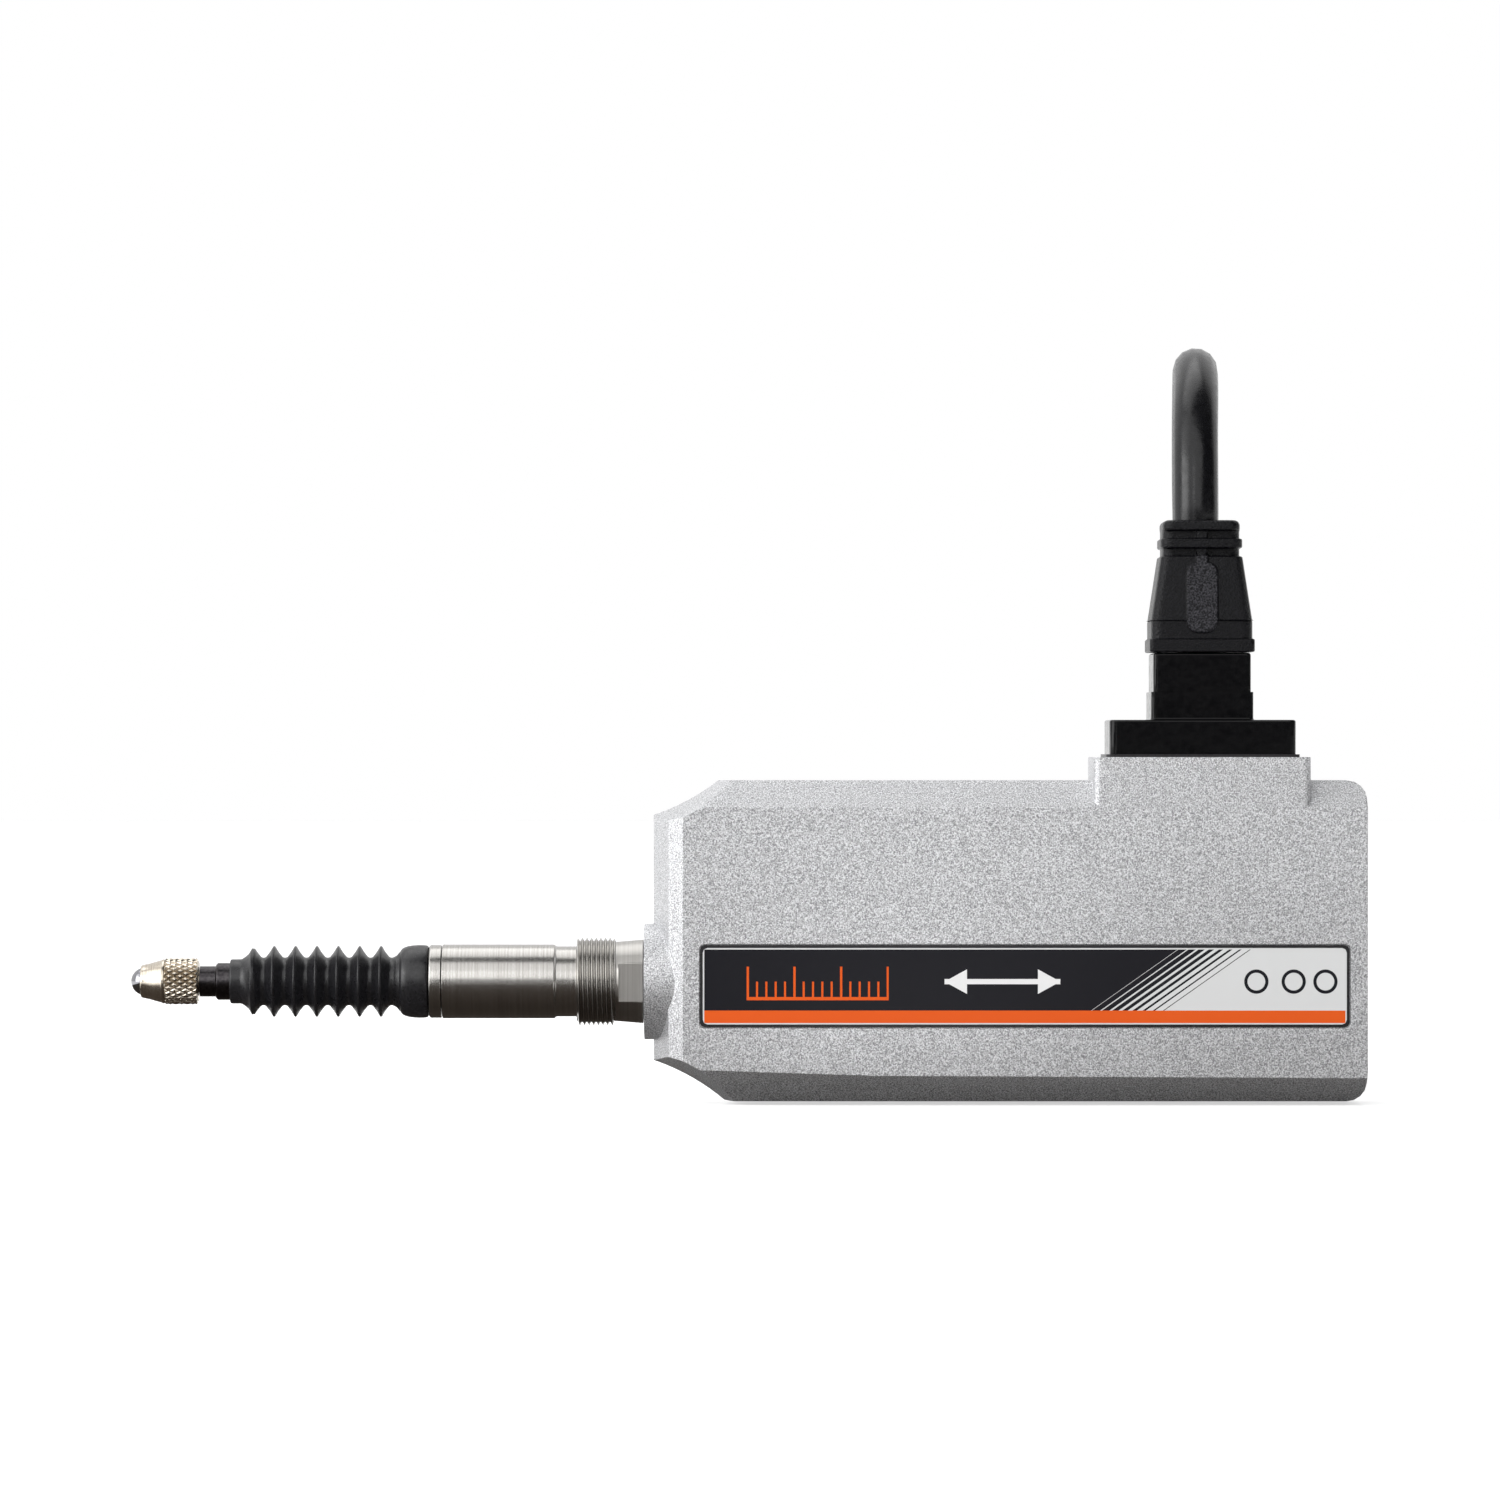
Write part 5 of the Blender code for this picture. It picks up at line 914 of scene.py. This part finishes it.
# %% Stem
THREAD_LOW, THREAD_HIGH, ZONE_MARGIN = -18.35, -14.15, 0.02
THREAD_PITCH, THREAD_CREST, THREAD_ROOT, THREAD_CORE = 0.5, 4.75, 4.38, 4.28
SKIN_RADIUS = 4.5  # what lies farther out is the thread's skin
shape = merged_copy("stem")
for vertex in shape.verts:
    from_low = vertex.co.x - (THREAD_LOW - ZONE_MARGIN) * MM
    from_high = (THREAD_HIGH + ZONE_MARGIN) * MM - vertex.co.x
    if min(from_low, from_high) > 0.0 and radius_of(vertex.co) > SKIN_RADIUS * MM:
        set_radius(vertex, THREAD_CORE * MM)
stem_turning = keep_mesh("stem_turning", shape, "stem")
round_off(stem_turning, 0.07 * MM)
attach(stem_turning, "sensor_body")
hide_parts("stem")

# %% [markdown]
# The sleeve is a short tube, divided finely along its length, whose points are moved in and out
# as a triangle wave that climbs one pitch a turn. The wave's top is cut off for the flat crests,
# and it fades at both ends. A helix made like this stays one closed mesh.

# %% Thread
SLEEVE_INSIDE, STEPS_A_PITCH, STEPS_ROUND = 4.1, 12, 72
RUNOUT, RUNOUT_DROP = 0.22, 0.18  # length over which the thread fades, and how far it drops
STEEPNESS, CREST_FLAT = 1.25, 0.12
steps_along = evenly(
    THREAD_LOW + ZONE_MARGIN, THREAD_HIGH - ZONE_MARGIN, THREAD_PITCH / STEPS_A_PITCH
)
outline = [(x, THREAD_CREST) for x in steps_along]
outline = [(steps_along[0], SLEEVE_INSIDE), *outline, (steps_along[-1], SLEEVE_INSIDE)]
shape = lathe(outline, STEPS_ROUND)
for vertex in shape.verts:
    if radius_of(vertex.co) < SKIN_RADIUS * MM:
        continue
    x = vertex.co.x / MM
    turn = math.atan2(vertex.co.y, vertex.co.z - AXIS_Z) / math.tau
    phase = (x / THREAD_PITCH + turn) % 1.0
    wave = abs(2.0 * phase - 1.0)
    cut = min(1.0, max(0.0, STEEPNESS * wave - CREST_FLAT))
    end = min(x - steps_along[0], steps_along[-1] - x) / RUNOUT
    lowered = (THREAD_CREST - THREAD_ROOT) * cut + RUNOUT_DROP * max(0.0, 1.0 - end)
    set_radius(vertex, (THREAD_CREST - lowered) * MM)
stem_thread = keep_mesh("stem_thread", shape, "stem")
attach(stem_thread, "sensor_body")
print("thread with", len(stem_thread.data.polygons), "faces")

# %% [markdown]
# ## The contact point and its knurl
# The tip is a turned cone that holds the ball, with a diamond knurl to grip it by. The cone is
# spun in one piece, with a slim neck under the knurl and a short stud that screws into the spindle.

# %% Cone
LIP, CONE_END, KNURL_END = -65.45, -62.85, -59.29
outline = [
    (-59.19, 1.2), (-59.19, 2.10), (-59.24, 2.20), (KNURL_END, 2.16), (CONE_END, 2.16),
    (CONE_END - 0.02, 2.38), (CONE_END - 0.28, 2.40), (CONE_END - 0.30, 2.33), (-64.35, 2.00),
    (-64.38, 1.975), (-65.15, 1.81), (-65.38, 1.74), (LIP, 1.66), (LIP, 1.45), (-65.2, 1.52),
    (-64.9, 1.51), (-64.5, 1.41), (-63.9, 0.95), (-63.7, 0.0),
]
tip_shape = lathe([(-54.19, 0.0), (-54.19, 1.0), (-54.4, 1.2)] + outline, 64, closed=False)
contact_cone = keep_mesh("contact_cone", tip_shape, "contact_point")
round_off(contact_cone, 0.03 * MM, 2, 30.0)
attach(contact_cone, "spindle_unit")
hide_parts("contact_point")
print("cone with", len(contact_cone.data.polygons), "faces")

# %% [markdown]
# A knurl is cut by two families of slanting grooves, so its pyramids are diamonds. A flat grid
# gets a point in the middle of each cell (poke), the cell edges are dissolved, and what is left
# are diamonds. Each one is inset and raised three times, less and less, and the sheet is then
# rolled round the axis and closed into a tube.

# %% Knurl
ALONG, AROUND, CELL_LENGTH = 3, 24, 1.21
KNURL_RADIUS, GROOVE_RADIUS, KNURL_INSIDE = 2.50, 2.22, 1.9
PYRAMID_STEPS = ((0.07, 0.16), (0.10, 0.09), (0.06, 0.03))  # inwards and up
shape = bmesh.new()
bmesh.ops.create_grid(shape, x_segments=ALONG, y_segments=AROUND, size=0.5)
for vertex in shape.verts:
    vertex.co.x *= ALONG * CELL_LENGTH
    vertex.co.y *= math.tau * KNURL_RADIUS
cell_edges = list(shape.edges)
bmesh.ops.poke(shape, faces=list(shape.faces))
inner_edges = [edge for edge in cell_edges if edge.is_valid and len(edge.link_faces) == 2]
bmesh.ops.dissolve_edges(shape, edges=inner_edges, use_verts=False)
diamonds = list(shape.faces)
for inwards, height in PYRAMID_STEPS:
    bmesh.ops.inset_individual(shape, faces=diamonds, thickness=inwards, use_even_offset=True)
    bmesh.ops.translate(
        shape, verts=list({vertex for face in diamonds for vertex in face.verts}),
        vec=(0.0, 0.0, height),
    )
knurl_middle = (CONE_END + KNURL_END) / 2
for vertex in shape.verts:
    along, around, raised = vertex.co
    angle = around / KNURL_RADIUS
    radius = (GROOVE_RADIUS + raised) * MM
    vertex.co = (
        (knurl_middle + along) * MM, radius * math.sin(angle), AXIS_Z + radius * math.cos(angle)
    )
bmesh.ops.remove_doubles(shape, verts=shape.verts, dist=0.004 * MM)
rims = [edge for edge in shape.edges if edge.is_boundary]
sides = bmesh.ops.extrude_edge_only(shape, edges=rims)["geom"]
for vertex in (item for item in sides if isinstance(item, bmesh.types.BMVert)):
    set_radius(vertex, KNURL_INSIDE * MM)
rims = [edge for edge in shape.edges if edge.is_boundary]
bmesh.ops.bridge_loops(shape, edges=rims)
bmesh.ops.recalc_face_normals(shape, faces=shape.faces)
contact_knurl = keep_mesh("contact_knurl", shape, "contact_point", smooth=False)
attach(contact_knurl, "spindle_unit")
print("knurl with", len(diamonds), "diamonds,", len(contact_knurl.data.polygons), "faces")

# %% [markdown]
# The ball is hard, dark and polished, so it shows one sharp highlight. An icosphere has no poles.

# %% Ball
BALL_RADIUS, BALL_X = 1.5 * MM, -65.05 * MM
shape = bmesh.new()
bmesh.ops.create_icosphere(
    shape, subdivisions=5, radius=BALL_RADIUS, matrix=Matrix.Translation((BALL_X, 0.0, AXIS_Z))
)
hard_ball = keep_mesh("hard_ball", shape, "contact_ball")
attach(hard_ball, "spindle_unit")
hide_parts("contact_ball")
print("ball with", len(hard_ball.data.polygons), "faces")

# %% [markdown]
# ## The bellows
# Seven folds of moulded rubber, with crisp crests and narrow valleys, a swollen cuff that grips
# the bush and a small one that grips the spindle.

# %% Bellows
PITCH, REAR_PEAK, VALLEY = 2.31, -39.51, 2.58
PEAKS = (3.85, 3.85, 3.85, 3.85, 3.85, 3.85, 3.60)  # radii of the crests, from the rear
outline = [  # the rear cuff
    (-34.38, 3.36), (-34.38, 3.70), (-34.43, 3.82), (-34.55, 3.89), (-34.9, 3.93), (-35.3, 3.94),
    (-35.75, 3.92), (-36.2, 3.88), (-36.6, 3.81), (-36.95, 3.70), (-37.2, 3.56), (-37.34, 3.40),
    (-37.45, 3.20), (-37.62, 2.92),
]
inside = []
for fold, peak in enumerate(PEAKS):
    peak_x = REAR_PEAK - fold * PITCH
    for share, radius in (  # up the rear flank
        (0.62, 2.66), (0.56, 2.60), (0.50, VALLEY), (0.44, 2.60), (0.38, 2.68),
        (0.20, 3.20), (0.09, 3.62), (0.045, peak - 0.06), (0.018, peak - 0.012),
    ):
        if fold or share < 0.6:
            outline.append((peak_x + share * PITCH, min(radius, peak - 0.03)))
    for share, radius in (  # and down the front one
        (-0.018, peak - 0.012), (-0.045, peak - 0.06), (-0.09, peak - 0.23), (-0.20, peak - 0.65),
    ):
        outline.append((peak_x + share * PITCH, radius))
    inside += [(peak_x + 0.5 * PITCH, VALLEY - 0.37), (peak_x, peak - 0.5)]
outline += [  # the front cuff
    (-54.25, 2.62), (-54.52, 2.44), (-54.70, 2.40), (-55.55, 2.40), (-55.68, 2.38), (-55.77, 2.30),
    (-55.80, 2.18), (-55.80, 2.06), (-54.65, 2.06),
]
outline += inside[::-1] + [(-37.34, 3.36)]
shape = lathe(outline, 96)
rubber_bellows = keep_mesh("rubber_bellows", shape, "bellows")
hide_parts("bellows")
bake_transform(rubber_bellows)
print("bellows with", len(rubber_bellows.data.polygons), "faces")

# %% [markdown]
# ## The return spring
# The spring inside pushes the spindle out, and shortens as the spindle goes in. Its CAD shape is
# right, so a copy with a mesh of its own stands in for it.

# %% Spring
spring_copy = keep_mesh("coil_spring", merged_copy("return_spring"), "return_spring")
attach(spring_copy, "sensor_body")
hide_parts("return_spring")
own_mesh(spring_copy)
print("spring with", len(spring_copy.data.polygons), "faces")

# %% [markdown]
# ## Last update
# The view layer is brought up to date once more.

# %% Update the view layer
bpy.context.view_layer.update()
